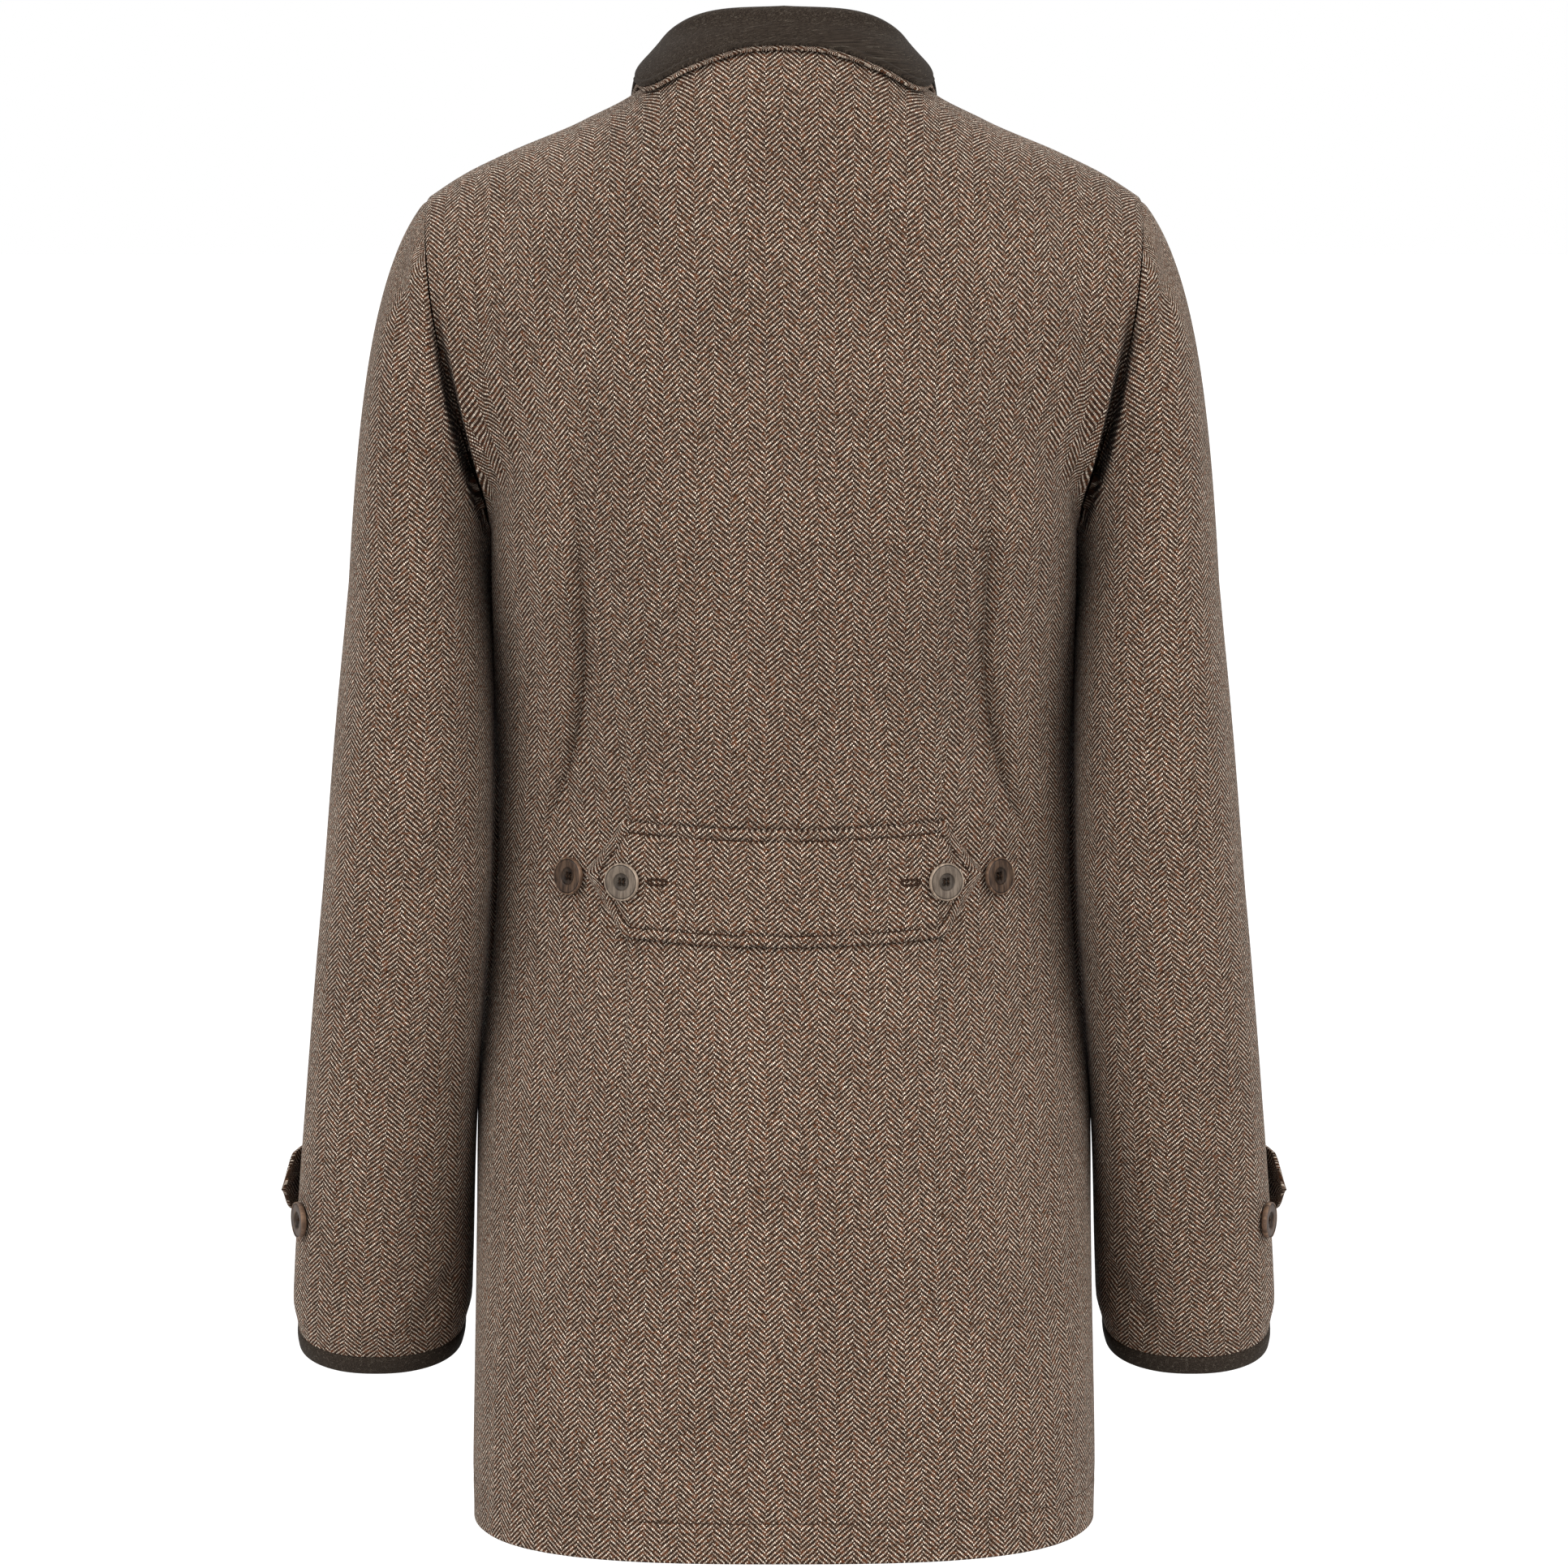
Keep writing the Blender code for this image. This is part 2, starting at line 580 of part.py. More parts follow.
def build_sleeves(tweed, felt, parent):
    """Sleeves and the felt bindings that finish their cuffs."""
    points, outwards = sleeve_grid()
    inside = points - TWEED_WALL * outwards
    down = points[:, -1] - points[:, -2]
    down = down / np.linalg.norm(down, axis=-1, keepdims=True)
    starts = points[:, -1] + SEAM_GAP * down
    cuff = np.stack([starts, starts + BINDING_DEPTH * down], axis=1)
    facing = outwards[:, -1:]
    for side, place in (("right", np.array), ("left", mirrored)):
        add_wall("sleeve_" + side, place(inside), place(points), tweed, parent, True)
        cuff_inside = place(cuff - FELT_WALL * facing)
        add_wall("cuff_binding_" + side, cuff_inside, place(cuff), felt, parent, True)


def build_collar(tweed, felt, parent):
    """Top collar with its stand, and the under collar that shows below its edge."""
    shares = np.abs(np.linspace(-1.0, 1.0, COLLAR_COLUMNS + 1))
    signs = np.where(np.linspace(-1.0, 1.0, COLLAR_COLUMNS + 1) < 0.0, -1.0, 1.0)
    points = collar_sections(shares)
    points[..., 0] *= signs[:, None]
    outwards = -normals(points)
    half = 0.5 * FELT_WALL
    add_wall("collar", points - half * outwards, points + half * outwards, felt, parent)
    leaf = points[:, -3:]
    run = leaf[:, 2] - leaf[:, 1]
    run = run / np.linalg.norm(run, axis=-1, keepdims=True)
    first = leaf[:, 0] + (leaf[:, 1] - leaf[:, 0]) * UNDER_COLLAR_FROM
    under = np.stack([first, leaf[:, 1], leaf[:, 2], leaf[:, 2] + UNDER_COLLAR_RIM * run], axis=1)
    facing = np.stack([outwards[:, -2], outwards[:, -2], outwards[:, -1], outwards[:, -1]], axis=1)
    top = under - (half + UNDER_COLLAR_GAP) * facing
    add_wall("under_collar", top - UNDER_COLLAR_WALL * facing, top, tweed, parent)


def belt_surface(x, rise):
    """Half belt: back points under it, its height narrowing to a point at each end."""
    x, rise = np.broadcast_arrays(np.asarray(x, float), np.asarray(rise, float))
    taper = np.clip((BELT_TIP_X - np.abs(x)) / (BELT_TIP_X - BELT_CORNER_X), 0.0, 1.0)
    height = BELT_TIP_HALF_HEIGHT + (BELT_HALF_HEIGHT - BELT_TIP_HALF_HEIGHT) * taper
    z = BELT_Z + BELT_SAG * (x / BELT_CORNER_X) ** 2 + rise * height
    return back_surface(turn_of(x, z), lift_of(z))


def build_belt(finish, parent):
    """Half belt across the back waist."""
    body = np.linspace(-BELT_CORNER_X, BELT_CORNER_X, BELT_COLUMNS)
    ends = np.linspace(BELT_CORNER_X, BELT_TIP_X, BELT_END_COLUMNS + 1)[1:]
    across = np.concatenate([-ends[::-1], body, ends])
    points = belt_surface(across[:, None], np.linspace(-1.0, 1.0, BELT_ROWS + 1))
    outwards = normals(points)
    inside = points + LAID_GAP * outwards
    add_wall("half_belt", inside, inside + BELT_WALL * outwards, finish, parent)


def build_tabs(finish, parent):
    """Cuff tabs round the outside of the sleeves."""
    band = np.linspace(TAB_FROM, TAB_TO - TAB_POINT_SPAN, TAB_COLUMNS)
    angles = np.concatenate([band, [TAB_TO - TAB_POINT_STEP, TAB_TO]])
    points, outwards, stand_off = tab_surface(angles[:, None], np.linspace(-1.0, 1.0, TAB_ROWS + 1))
    inside = points + (LAID_GAP + stand_off[..., None]) * outwards
    for side, place in (("right", np.array), ("left", mirrored)):
        add_wall("cuff_tab_" + side, place(inside), place(inside + TAB_WALL * outwards), finish, parent)


def button_mesh():
    """Dished horn button with a raised rim and four thread holes, turned about its axis."""
    work = bmesh.new()
    chain = [work.verts.new((radius * MM, 0.0, height * MM)) for radius, height in BUTTON_PROFILE]
    edges = [work.edges.new(pair) for pair in zip(chain, chain[1:])]
    centre, axis = (0.0, 0.0, 0.0), (0.0, 0.0, 1.0)
    around = 2.0 * math.pi
    bmesh.ops.spin(
        work, geom=chain + edges, cent=centre, axis=axis, angle=around, steps=BUTTON_SEGMENTS
    )
    bmesh.ops.remove_doubles(work, verts=work.verts, dist=BUTTON_WELD * MM)
    bmesh.ops.recalc_face_normals(work, faces=work.faces)
    for face in work.faces:
        face.smooth = True
    mesh = bpy.data.meshes.new("button")
    work.to_mesh(mesh)
    work.free()
    blank = bpy.data.objects.new("button_blank", mesh)
    bpy.context.scene.collection.objects.link(blank)
    holes = []
    for turn in range(BUTTON_HOLE_COUNT):
        angle = 2.0 * math.pi * (turn + 0.5) / BUTTON_HOLE_COUNT
        drill = bmesh.new()
        size = BUTTON_HOLE_RADIUS * MM
        bmesh.ops.create_cone(
            drill, cap_ends=True, segments=BUTTON_HOLE_SIDES,
            radius1=size, radius2=size, depth=BUTTON_DRILL_LENGTH * MM,
        )
        hole_mesh = bpy.data.meshes.new("button_hole")
        drill.to_mesh(hole_mesh)
        drill.free()
        hole = bpy.data.objects.new("button_hole", hole_mesh)
        hole.location = Vector((math.cos(angle), math.sin(angle), 0.0)) * BUTTON_HOLE_OFFSET * MM
        hole.hide_render = True
        hole.display_type = "WIRE"
        bpy.context.scene.collection.objects.link(hole)
        cut = blank.modifiers.new("hole", "BOOLEAN")
        cut.operation = "DIFFERENCE"
        cut.solver = "EXACT"
        cut.object = hole
        holes.append(hole)
    graph = bpy.context.evaluated_depsgraph_get()
    drilled = bpy.data.meshes.new_from_object(blank.evaluated_get(graph))
    for drill_object in holes:
        bpy.data.objects.remove(drill_object)
    bpy.data.objects.remove(blank)
    return drilled


def add_button(name, mesh, point, outwards, finish, parent):
    """Button lying flat on a cloth point, facing outwards."""
    made = add_object(name, mesh.copy(), finish, parent)
    facing = Vector(outwards)
    made.location = Vector(point * MM) + facing * LAID_GAP * MM
    made.rotation_euler = facing.to_track_quat("Z", "Y").to_euler()


def build_buttons(finish, parent):
    """Buttons of the half belt, the sleeves, the cuff tabs and the front."""
    mesh = button_mesh()
    for side, sign in (("right", 1.0), ("left", -1.0)):
        flip = np.array([sign, 1.0, 1.0])
        for place, x, raised in BELT_BUTTONS:
            turn, lift = turn_of(np.array(x), BELT_BUTTON_Z), lift_of(BELT_BUTTON_Z)
            facing = normal_at(back_surface, turn, lift)
            point = back_surface(turn, lift) + raised * facing
            name = "belt_button_" + place + "_" + side
            add_button(name, mesh, point * flip, facing * flip, finish, parent)
        angle = np.array(math.radians(SLEEVE_BUTTON_ANGLE))
        facing = -normal_at(sleeve_ring, angle, np.array(SLEEVE_BUTTON_Z))
        point = sleeve_ring(angle, np.array(SLEEVE_BUTTON_Z)) - SLEEVE_BUTTON_SINK * facing
        add_button("sleeve_button_" + side, mesh, point * flip, facing * flip, finish, parent)
        point, facing, _ = tab_surface(TAB_BUTTON, 0.0)
        point = point + (LAID_GAP + TAB_WALL) * facing
        add_button("tab_button_" + side, mesh, point * flip, facing * flip, finish, parent)
    for number in range(FRONT_BUTTON_COUNT):
        z = FRONT_BUTTON_TOP - FRONT_BUTTON_STEP * number
        facing, point = front_centre(z)
        add_button("front_button_" + str(number + 1), mesh, point, facing, finish, parent)


def front_centre(z):
    """Outward direction and point of the right front on the centre line at a height."""
    rise = max(0.0, (z - UNDERARM.z) / (RIDGE[0].z - UNDERARM.z))
    lift = min(lift_of(z), 0.0) + 1.0 - (1.0 - rise) ** (1.0 / ROW_SPREAD)
    turn = np.array(0.0)
    return -normal_at(front_surface, turn, np.array(lift)), front_surface(turn, lift)


def build_jacket():
    """Clear the scene and build every piece on one empty at the origin."""
    for item in list(bpy.data.objects):
        bpy.data.objects.remove(item, do_unlink=True)
    garment = bpy.data.objects.new("jacket", None)
    bpy.context.scene.collection.objects.link(garment)
    tweed = make_material("herringbone_tweed", TWEED_COLOUR, CLOTH_ROUGHNESS)
    felt = make_material("brown_felt", FELT_COLOUR, CLOTH_ROUGHNESS)
    horn = make_material("horn", HORN_COLOUR, HORN_ROUGHNESS)
    build_back(tweed, garment)
    build_fronts(tweed, garment)
    build_sleeves(tweed, felt, garment)
    build_collar(tweed, felt, garment)
    build_belt(tweed, garment)
    build_tabs(tweed, garment)
    build_buttons(horn, garment)


build_jacket()
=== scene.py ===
"""Looks of a hip-length herringbone tweed jacket, filled out as if worn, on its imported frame.

Sizes are in millimetres and become metres when a mesh is made.  Up is +Z, the
wearer faces +Y and the wearer's right is +X.
"""

import logging
import math
from dataclasses import dataclass, field, replace
from enum import Enum
from typing import Any, Callable, NamedTuple, Sequence

import bpy
import numpy as np
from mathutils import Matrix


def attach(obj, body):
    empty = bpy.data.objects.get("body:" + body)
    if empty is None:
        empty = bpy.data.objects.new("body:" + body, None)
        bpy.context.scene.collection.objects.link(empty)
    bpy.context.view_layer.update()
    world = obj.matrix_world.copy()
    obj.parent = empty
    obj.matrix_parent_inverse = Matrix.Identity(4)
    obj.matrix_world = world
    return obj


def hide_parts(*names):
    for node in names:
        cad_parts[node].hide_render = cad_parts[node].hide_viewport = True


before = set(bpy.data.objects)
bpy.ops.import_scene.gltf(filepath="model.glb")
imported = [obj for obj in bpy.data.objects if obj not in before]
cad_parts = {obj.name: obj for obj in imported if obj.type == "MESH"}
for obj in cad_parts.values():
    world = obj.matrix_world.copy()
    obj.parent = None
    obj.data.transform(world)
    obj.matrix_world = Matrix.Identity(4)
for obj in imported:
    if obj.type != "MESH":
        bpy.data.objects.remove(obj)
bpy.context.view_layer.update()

Array = np.ndarray
Surface = Callable[[Array, Array], Array]
Pair = tuple[float, float]
Mesh = bpy.types.Mesh
Material = bpy.types.Material
Object = bpy.types.Object
Node = bpy.types.Node
Tree = bpy.types.NodeTree
MM = 0.001
GRAIN = "grain"
log = logging.getLogger("jacket")


class Side(Enum):
    """Half of the body that a panel covers; the value is its sign along Y."""

    BACK = -1.0
    FRONT = 1.0


class Hand(Enum):
    """Which of a mirrored pair a piece is; the value is its sign along X."""

    RIGHT = 1.0
    LEFT = -1.0

    def place(self, points: Array) -> Array:
        """Points or directions of the right-hand piece, moved to this hand."""
        return points * np.array([self.value, 1.0, 1.0])

    @property
    def word(self) -> str:
        """Ending of the names of this hand's pieces."""
        return self.name.lower()


class Hold(Enum):
    """How a sheet of cloth is held; the value is the frame's word for it."""

    HUNG = "hung"
    LAID = "laid"
    FOLDED = "folded"


class Section(NamedTuple):
    """Level section of the body: half width, centre back, centre front, side seam, roundness."""

    z: float
    half_width: float
    back: float
    front: float
    side: float
    roundness: float


class RidgePoint(NamedTuple):
    """Point of the shoulder ridge."""

    x: float
    z: float


class Fold(NamedTuple):
    """Side fold of the back at one height: place, depth, roll beside it and cloth taken into it."""

    z: float
    x: float
    trough: float
    ridge: float
    hidden: float


class Upper(NamedTuple):
    """Shape of the body above the underarm on one side."""

    centre_roundness: float
    edge_roundness: float
    armhole_depth: float
    neck_y: float


class Ring(NamedTuple):
    """Sleeve ring: centre, half axes and forward tilt in degrees."""

    z: float
    x: float
    y: float
    half_width: float
    half_depth: float
    tilt: float


class Station(NamedTuple):
    """Collar fold line at a share of the way from centre back to centre front."""

    share: float
    fold_out: float
    fold_z: float


class Crease(NamedTuple):
    """Soft trough, or ridge where the depth is negative, along a straight line."""

    x: float
    z: float
    to_x: float
    to_z: float
    depth: float
    width: float


class Hollow(NamedTuple):
    """Place beside the side seam where the body draws in behind the sleeve."""

    away: float
    width: float
    z: float
    span: float
    depth: float


class Rest(NamedTuple):
    """Place where the sleeve rests against the body: degrees round it, height, widths and depth."""

    turn: float
    z: float
    turn_width: float
    z_width: float
    depth: float


def ease(at: Array) -> Array:
    """Smooth rise from 0 to 1 while the argument goes from 0 to 1: 3t squared less 2t cubed."""
    t = np.clip(at, 0.0, 1.0)
    return t * t * (3.0 - 2.0 * t)


def bell(away: Array, width: float) -> Array:
    """Bell curve that is 1 at no distance: e to the minus square of distance over width."""
    return np.exp(-((np.asarray(away) / width) ** 2))


def unit(vectors: Array) -> Array:
    """Vectors scaled to length one."""
    return vectors / np.linalg.norm(vectors, axis=-1, keepdims=True)


def reach(angle: Array, power: Array) -> Array:
    """Radius of a unit superellipse at an angle: (|cos|^p + |sin|^p)^(-1/p)."""
    return (np.abs(np.cos(angle)) ** power + np.abs(np.sin(angle)) ** power) ** (-1.0 / power)


def curve_through(places: Array, values: Array, at: Array) -> Array:
    """Cubic curve through given values, with slopes from the neighbouring values.

    Args:
        places: Rising parameter of each value.
        values: Numbers or points at those places, along the first axis.
        at: Parameters at which the curve is wanted.

    Returns:
        Values at those parameters, with the shape of at in front.
    """
    slopes = np.gradient(values, places, axis=0)
    at = np.clip(at, places[0], places[-1])
    index = np.clip(np.searchsorted(places, at) - 1, 0, len(places) - 2)
    spread = (...,) + (None,) * (values.ndim - 1)
    span = (places[index + 1] - places[index])[spread]
    t = (at - places[index])[spread] / span
    start = values[index] * (1 + 2 * t) + slopes[index] * span * t
    end = values[index + 1] * (3 - 2 * t) + slopes[index + 1] * span * (t - 1)
    return start * (1 - t) ** 2 + end * t**2


def smooth_between(rows: Sequence[NamedTuple], column: str, at: Array) -> Array:
    """Column of a table on a smooth curve over the table's first column.

    Args:
        rows: Table whose first column is the parameter.
        column: Name of the wanted column.
        at: Parameters at which it is wanted.

    Returns:
        The column's values there.
    """
    rows = sorted(rows)
    places = np.array([row[0] for row in rows])
    values = np.array([getattr(row, column) for row in rows])
    return curve_through(places, values, np.asarray(at, float))


def grid_normals(points: Array) -> Array:
    """Unit normals of a grid: cross product of the steps along its two axes."""
    return unit(np.cross(np.gradient(points, axis=0), np.gradient(points, axis=1)))


def normal_at(surface: Surface, u: Array, v: Array, small: float = 0.005) -> Array:
    """Unit normal of a surface function from small steps along its two parameters.

    Args:
        surface: Function of two parameters.
        u: First parameter.
        v: Second parameter.
        small: Step to each side.

    Returns:
        Normals with the shape of the parameters.
    """
    along_u = surface(u + small, v) - surface(u - small, v)
    along_v = surface(u, v + small) - surface(u, v - small)
    return unit(np.cross(along_u, along_v))


def run_length(points: Array, axis: int, parts: tuple[int, ...] = (0, 1, 2)) -> Array:
    """Distance run along one axis of a grid of points, from 0 at its first point.

    Args:
        points: Grid of points.
        axis: Axis along which to run.
        parts: Coordinates that count.

    Returns:
        Distances with the grid's shape.
    """
    steps = np.linalg.norm(np.diff(points, axis=axis)[..., list(parts)], axis=-1)
    start = np.zeros_like(np.take(steps, [0], axis=axis))
    return np.concatenate([start, np.cumsum(steps, axis=axis)], axis=axis)


def crease_depth(creases: Sequence[Crease], x: Array, z: Array) -> Array:
    """Summed depth of soft folds: a bell across each line that fades past its ends.

    Args:
        creases: Lines with their depths and widths.
        x: First coordinate of each point.
        z: Second coordinate of each point.

    Returns:
        Depth at each point, inwards positive.
    """
    depth = np.zeros(np.broadcast(x, z).shape)
    for crease in creases:
        run_x, run_z = crease.to_x - crease.x, crease.to_z - crease.z
        length = math.hypot(run_x, run_z)
        along = ((x - crease.x) * run_x + (z - crease.z) * run_z) / length
        across = ((x - crease.x) * run_z - (z - crease.z) * run_x) / length
        past = np.maximum(np.maximum(-along, along - length), 0.0)
        depth += crease.depth * bell(across, crease.width) * bell(past, 1.6 * crease.width)
    return depth


@dataclass(frozen=True)
class Torso:
    """Form of the body from hem to shoulder ridge, as a general figure fills it out."""

    sections: tuple[Section, ...] = (
        Section(-764.0, 168.6, -142.0, 136.0, 0.0, 2.9),
        Section(-690.0, 167.8, -137.0, 133.0, 8.0, 2.7),
        Section(-610.0, 167.4, -128.0, 128.0, 32.0, 2.3),
        Section(-530.0, 166.8, -110.0, 120.0, 44.0, 2.05),
        Section(-470.0, 162.4, -94.0, 114.0, 44.0, 2.0),
        Section(-420.0, 159.6, -86.0, 112.0, 42.0, 2.0),
        Section(-360.0, 158.4, -88.0, 113.0, 40.0, 2.0),
        Section(-300.0, 158.8, -97.0, 118.0, 32.0, 2.15),
        Section(-268.0, 158.6, -102.0, 121.5, 20.0, 2.3),
        Section(-235.0, 156.0, -107.0, 124.0, 5.0, 2.5),
    )
    ridge: tuple[RidgePoint, ...] = (
        RidgePoint(0.0, 49.0),
        RidgePoint(20.0, 47.0),
        RidgePoint(45.0, 32.0),
        RidgePoint(71.0, 2.5),
        RidgePoint(105.0, -17.0),
        RidgePoint(147.0, -35.0),
        RidgePoint(172.0, -47.5),
        RidgePoint(189.5, -59.0),
    )
    folds: tuple[Fold, ...] = (
        Fold(-470.0, 143.0, 0.0, 0.0, 0.0),
        Fold(-425.0, 138.0, 3.0, 0.5, 1.0),
        Fold(-396.0, 128.0, 7.5, 3.0, 5.0),
        Fold(-369.0, 117.0, 12.0, 5.0, 13.0),
        Fold(-316.0, 106.0, 14.0, 6.0, 20.0),
        Fold(-248.0, 106.0, 11.0, 4.5, 18.0),
        Fold(-190.0, 108.0, 5.0, 2.0, 11.0),
        Fold(-140.0, 112.0, 0.5, 0.3, 4.0),
        Fold(-95.0, 116.0, 0.0, 0.0, 0.0),
    )
    uppers: tuple[Upper, Upper] = (Upper(3.1, 2.4, 60.0, -69.0), Upper(1.4, 2.3, 54.0, 84.0))
    row_spread: float = 1.6
    edge_pull: float = 2.1
    armhole_inset_power: float = 1.6
    neck_turn: float = 0.375
    seam_gap: float = 0.06
    fold_trough_width: float = 17.0
    fold_steep_width: float = 6.0
    fold_ridge_width: float = 14.0
    fold_ridge_offset: float = 22.0
    fold_fade: float = 6.0
    flat_x: float = 110.0
    flat_slope: float = 1.16
    over_from: float = 0.5
    over_span: float = 0.25
    below_ridge: float = 0.99
    valley: float = 38.0
    valley_width: float = 4.5
    valley_power: int = 4
    valley_from: float = 60.0

    @property
    def hem_z(self) -> float:
        """Height of the hem."""
        return self.sections[0].z

    @property
    def underarm(self) -> Section:
        """Section at the underarm."""
        return self.sections[-1]

    @property
    def tip(self) -> RidgePoint:
        """Shoulder tip."""
        return self.ridge[-1]

    def upper(self, side: Side) -> Upper:
        """Shape above the underarm on one side."""
        return self.uppers[0] if side is Side.BACK else self.uppers[1]

    def fold_depth(self, x: Array, z: Array) -> Array:
        """Side folds of the back: a long slope in, a steep one out, then a rounded roll of cloth."""
        away = np.abs(x) - smooth_between(self.folds, "x", z)
        slope = np.where(away < 0.0, bell(away, self.fold_trough_width), np.exp(-np.abs(away) / self.fold_steep_width))
        roll = bell(away - self.fold_ridge_offset, self.fold_ridge_width)
        return smooth_between(self.folds, "trough", z) * slope - smooth_between(self.folds, "ridge", z) * roll

    def lower(self, turn: Array, z: Array, side: Side) -> Array:
        """Body below the underarm: a superellipse quarter from centre line to side seam.

        Args:
            turn: 0 on the centre line, 1 at the side seam.
            z: Heights.
            side: Back or front.

        Returns:
            Points of the right half.
        """
        power = smooth_between(self.sections, "roundness", z)
        middle = smooth_between(self.sections, side.name.lower(), z)
        seam = smooth_between(self.sections, "side", z)
        angle = turn * (0.5 * math.pi - 0.5 * self.seam_gap / np.abs(middle - seam))
        radius = reach(angle, power)
        x = smooth_between(self.sections, "half_width", z) * radius * np.sin(angle)
        y = seam + (middle - seam) * radius * np.cos(angle)
        return np.stack(np.broadcast_arrays(x, y, z), axis=-1)

    def armhole(self, angle: Array, side: Side) -> Array:
        """Armhole seam, a half loop from the shoulder tip (0) down to the underarm (pi).

        Args:
            angle: Angle round the loop.
            side: Back or front.

        Returns:
            Points of the right armhole.
        """
        under = self.underarm
        fall = 0.5 * (1.0 - np.cos(angle))
        x = self.tip.x - (self.tip.x - under.half_width) * fall**self.armhole_inset_power
        y = under.side * fall + side.value * self.upper(side).armhole_depth * np.sin(angle)
        return np.stack([x, y, self.tip.z + (under.z - self.tip.z) * fall], axis=-1)

    def valley_depth(self, angle: Array, away: Array) -> Array:
        """Deep fold along the back of the armhole seam: a squared sine of the loop's angle, steep walls across.

        Args:
            angle: Angle round the armhole, from the shoulder tip.
            away: Distance from the seam.

        Returns:
            How far the cloth is drawn in, towards the front.
        """
        start = math.radians(self.valley_from)
        share = np.clip((angle - start) / (math.pi - start), 0.0, 1.0)
        return self.valley * np.sin(math.pi * share) ** 2 * np.exp(-((away / self.valley_width) ** self.valley_power))

    def shoulder_power(self, turn: Array, side: Side) -> Array:
        """Roundness of the arc that rises to the ridge at each turn."""
        upper = self.upper(side)
        return upper.centre_roundness + (upper.edge_roundness - upper.centre_roundness) * turn**2

    def shoulder(self, turn: Array, lift: Array, side: Side) -> Array:
        """Form above the underarm: superellipse arcs from the underarm row up to the ridge.

        Args:
            turn: 0 on the centre line, 1 at the armhole.
            lift: 0 at the underarm, 1 on the ridge.
            side: Back or front.

        Returns:
            Points of the right half.
        """
        low = self.lower(turn, self.underarm.z + 0.0 * lift, side)
        power = self.shoulder_power(turn, side)
        rise = 1.0 - (1.0 - lift) ** self.row_spread
        lean = 1.0 - (1.0 - rise**power) ** (1.0 / power)
        x = low[..., 0] + (self.tip.x * turn - low[..., 0]) * lift
        y = low[..., 1] + (0.5 * side.value * self.seam_gap - low[..., 1]) * lean
        z = low[..., 2] + (smooth_between(self.ridge, "z", self.tip.x * turn) - low[..., 2]) * rise
        return np.stack([x, y, z], axis=-1)

    def point(self, turn: Array, lift: Array, side: Side) -> Array:
        """Body surface over two parameters, drawn out to the armhole seam above the underarm.

        Args:
            turn: -1 at the left side, 0 on the centre line, 1 at the right side.
            lift: -1 at the hem, 0 at the underarm, 1 on the ridge.
            side: Back or front.

        Returns:
            Points of the outside of the cloth.
        """
        turn, lift = np.broadcast_arrays(np.asarray(turn, float), np.asarray(lift, float))
        share, raised = np.abs(turn), np.clip(lift, 0.0, 1.0)
        low = self.lower(share, self.height(np.minimum(lift, 0.0)), side)
        seam = self.armhole(math.pi * (1.0 - raised), side)
        pull = seam - self.shoulder(np.ones_like(share), raised, side)
        high = self.shoulder(share, raised, side) + share[..., None] ** self.edge_pull * pull
        points = np.where(lift[..., None] > 0.0, high, low)
        if side is Side.BACK:
            points[..., 1] += self.fold_depth(points[..., 0], points[..., 2]) * (1.0 - share**self.fold_fade)
        points[..., 0] *= np.where(turn < 0.0, -1.0, 1.0)
        return points

    def back(self, turn: Array, lift: Array) -> Array:
        """Back surface."""
        return self.point(turn, lift, Side.BACK)

    def front(self, turn: Array, lift: Array) -> Array:
        """Front surface."""
        return self.point(turn, lift, Side.FRONT)

    def plan_lift(self, turn: Array, side: Side, half_turn: float, depth: float, power: float = 2.0) -> Array:
        """Lift at which the body follows a superellipse in plan, or reaches the ridge outside it.

        Args:
            turn: Turns along the line.
            side: Back or front.
            half_turn: Turn at which the ellipse meets the ridge.
            depth: Y of the ellipse on the centre line.
            power: Its power, 2 for a plain ellipse.

        Returns:
            Lifts of the line.
        """
        share = np.abs(turn)
        low = self.lower(share, self.underarm.z + 0.0 * share, side)[..., 1]
        wanted = depth * (1.0 - np.clip(share / half_turn, 0.0, 1.0) ** power) ** (1.0 / power)
        power = self.shoulder_power(turn, side)
        rise = (1.0 - np.clip(wanted / low, 0.0, 1.0) ** power) ** (1.0 / power)
        return 1.0 - (1.0 - rise) ** (1.0 / self.row_spread)

    def neck_lift(self, turn: Array, side: Side) -> Array:
        """Lift of the neckline, or of the shoulder seam outside it."""
        return self.plan_lift(turn, side, self.neck_turn, self.upper(side).neck_y)

    def height(self, lift: Array) -> Array:
        """Height of a lift below the underarm."""
        return self.underarm.z + (self.underarm.z - self.hem_z) * lift

    def lift_of(self, z: Array) -> Array:
        """Lift of a height below the underarm."""
        return (z - self.underarm.z) / (self.underarm.z - self.hem_z)

    def turn_of(self, x: Array, z: Array) -> Array:
        """Turn of the back point at x on the section at height z."""
        power = smooth_between(self.sections, "roundness", z)
        share = (np.abs(x) / smooth_between(self.sections, "half_width", z)) ** power
        return np.sign(x) * np.arctan((share / (1.0 - share)) ** (1.0 / power)) / (0.5 * math.pi)

    def plain(self, turn: Array, lift: Array, side: Side) -> Array:
        """Right half of the body before it is drawn out to the armhole seam."""
        shoulder = self.shoulder(turn, np.clip(lift, 0.0, 1.0), side)
        return np.where(lift[..., None] > 0.0, shoulder, self.lower(turn, self.height(np.minimum(lift, 0.0)), side))

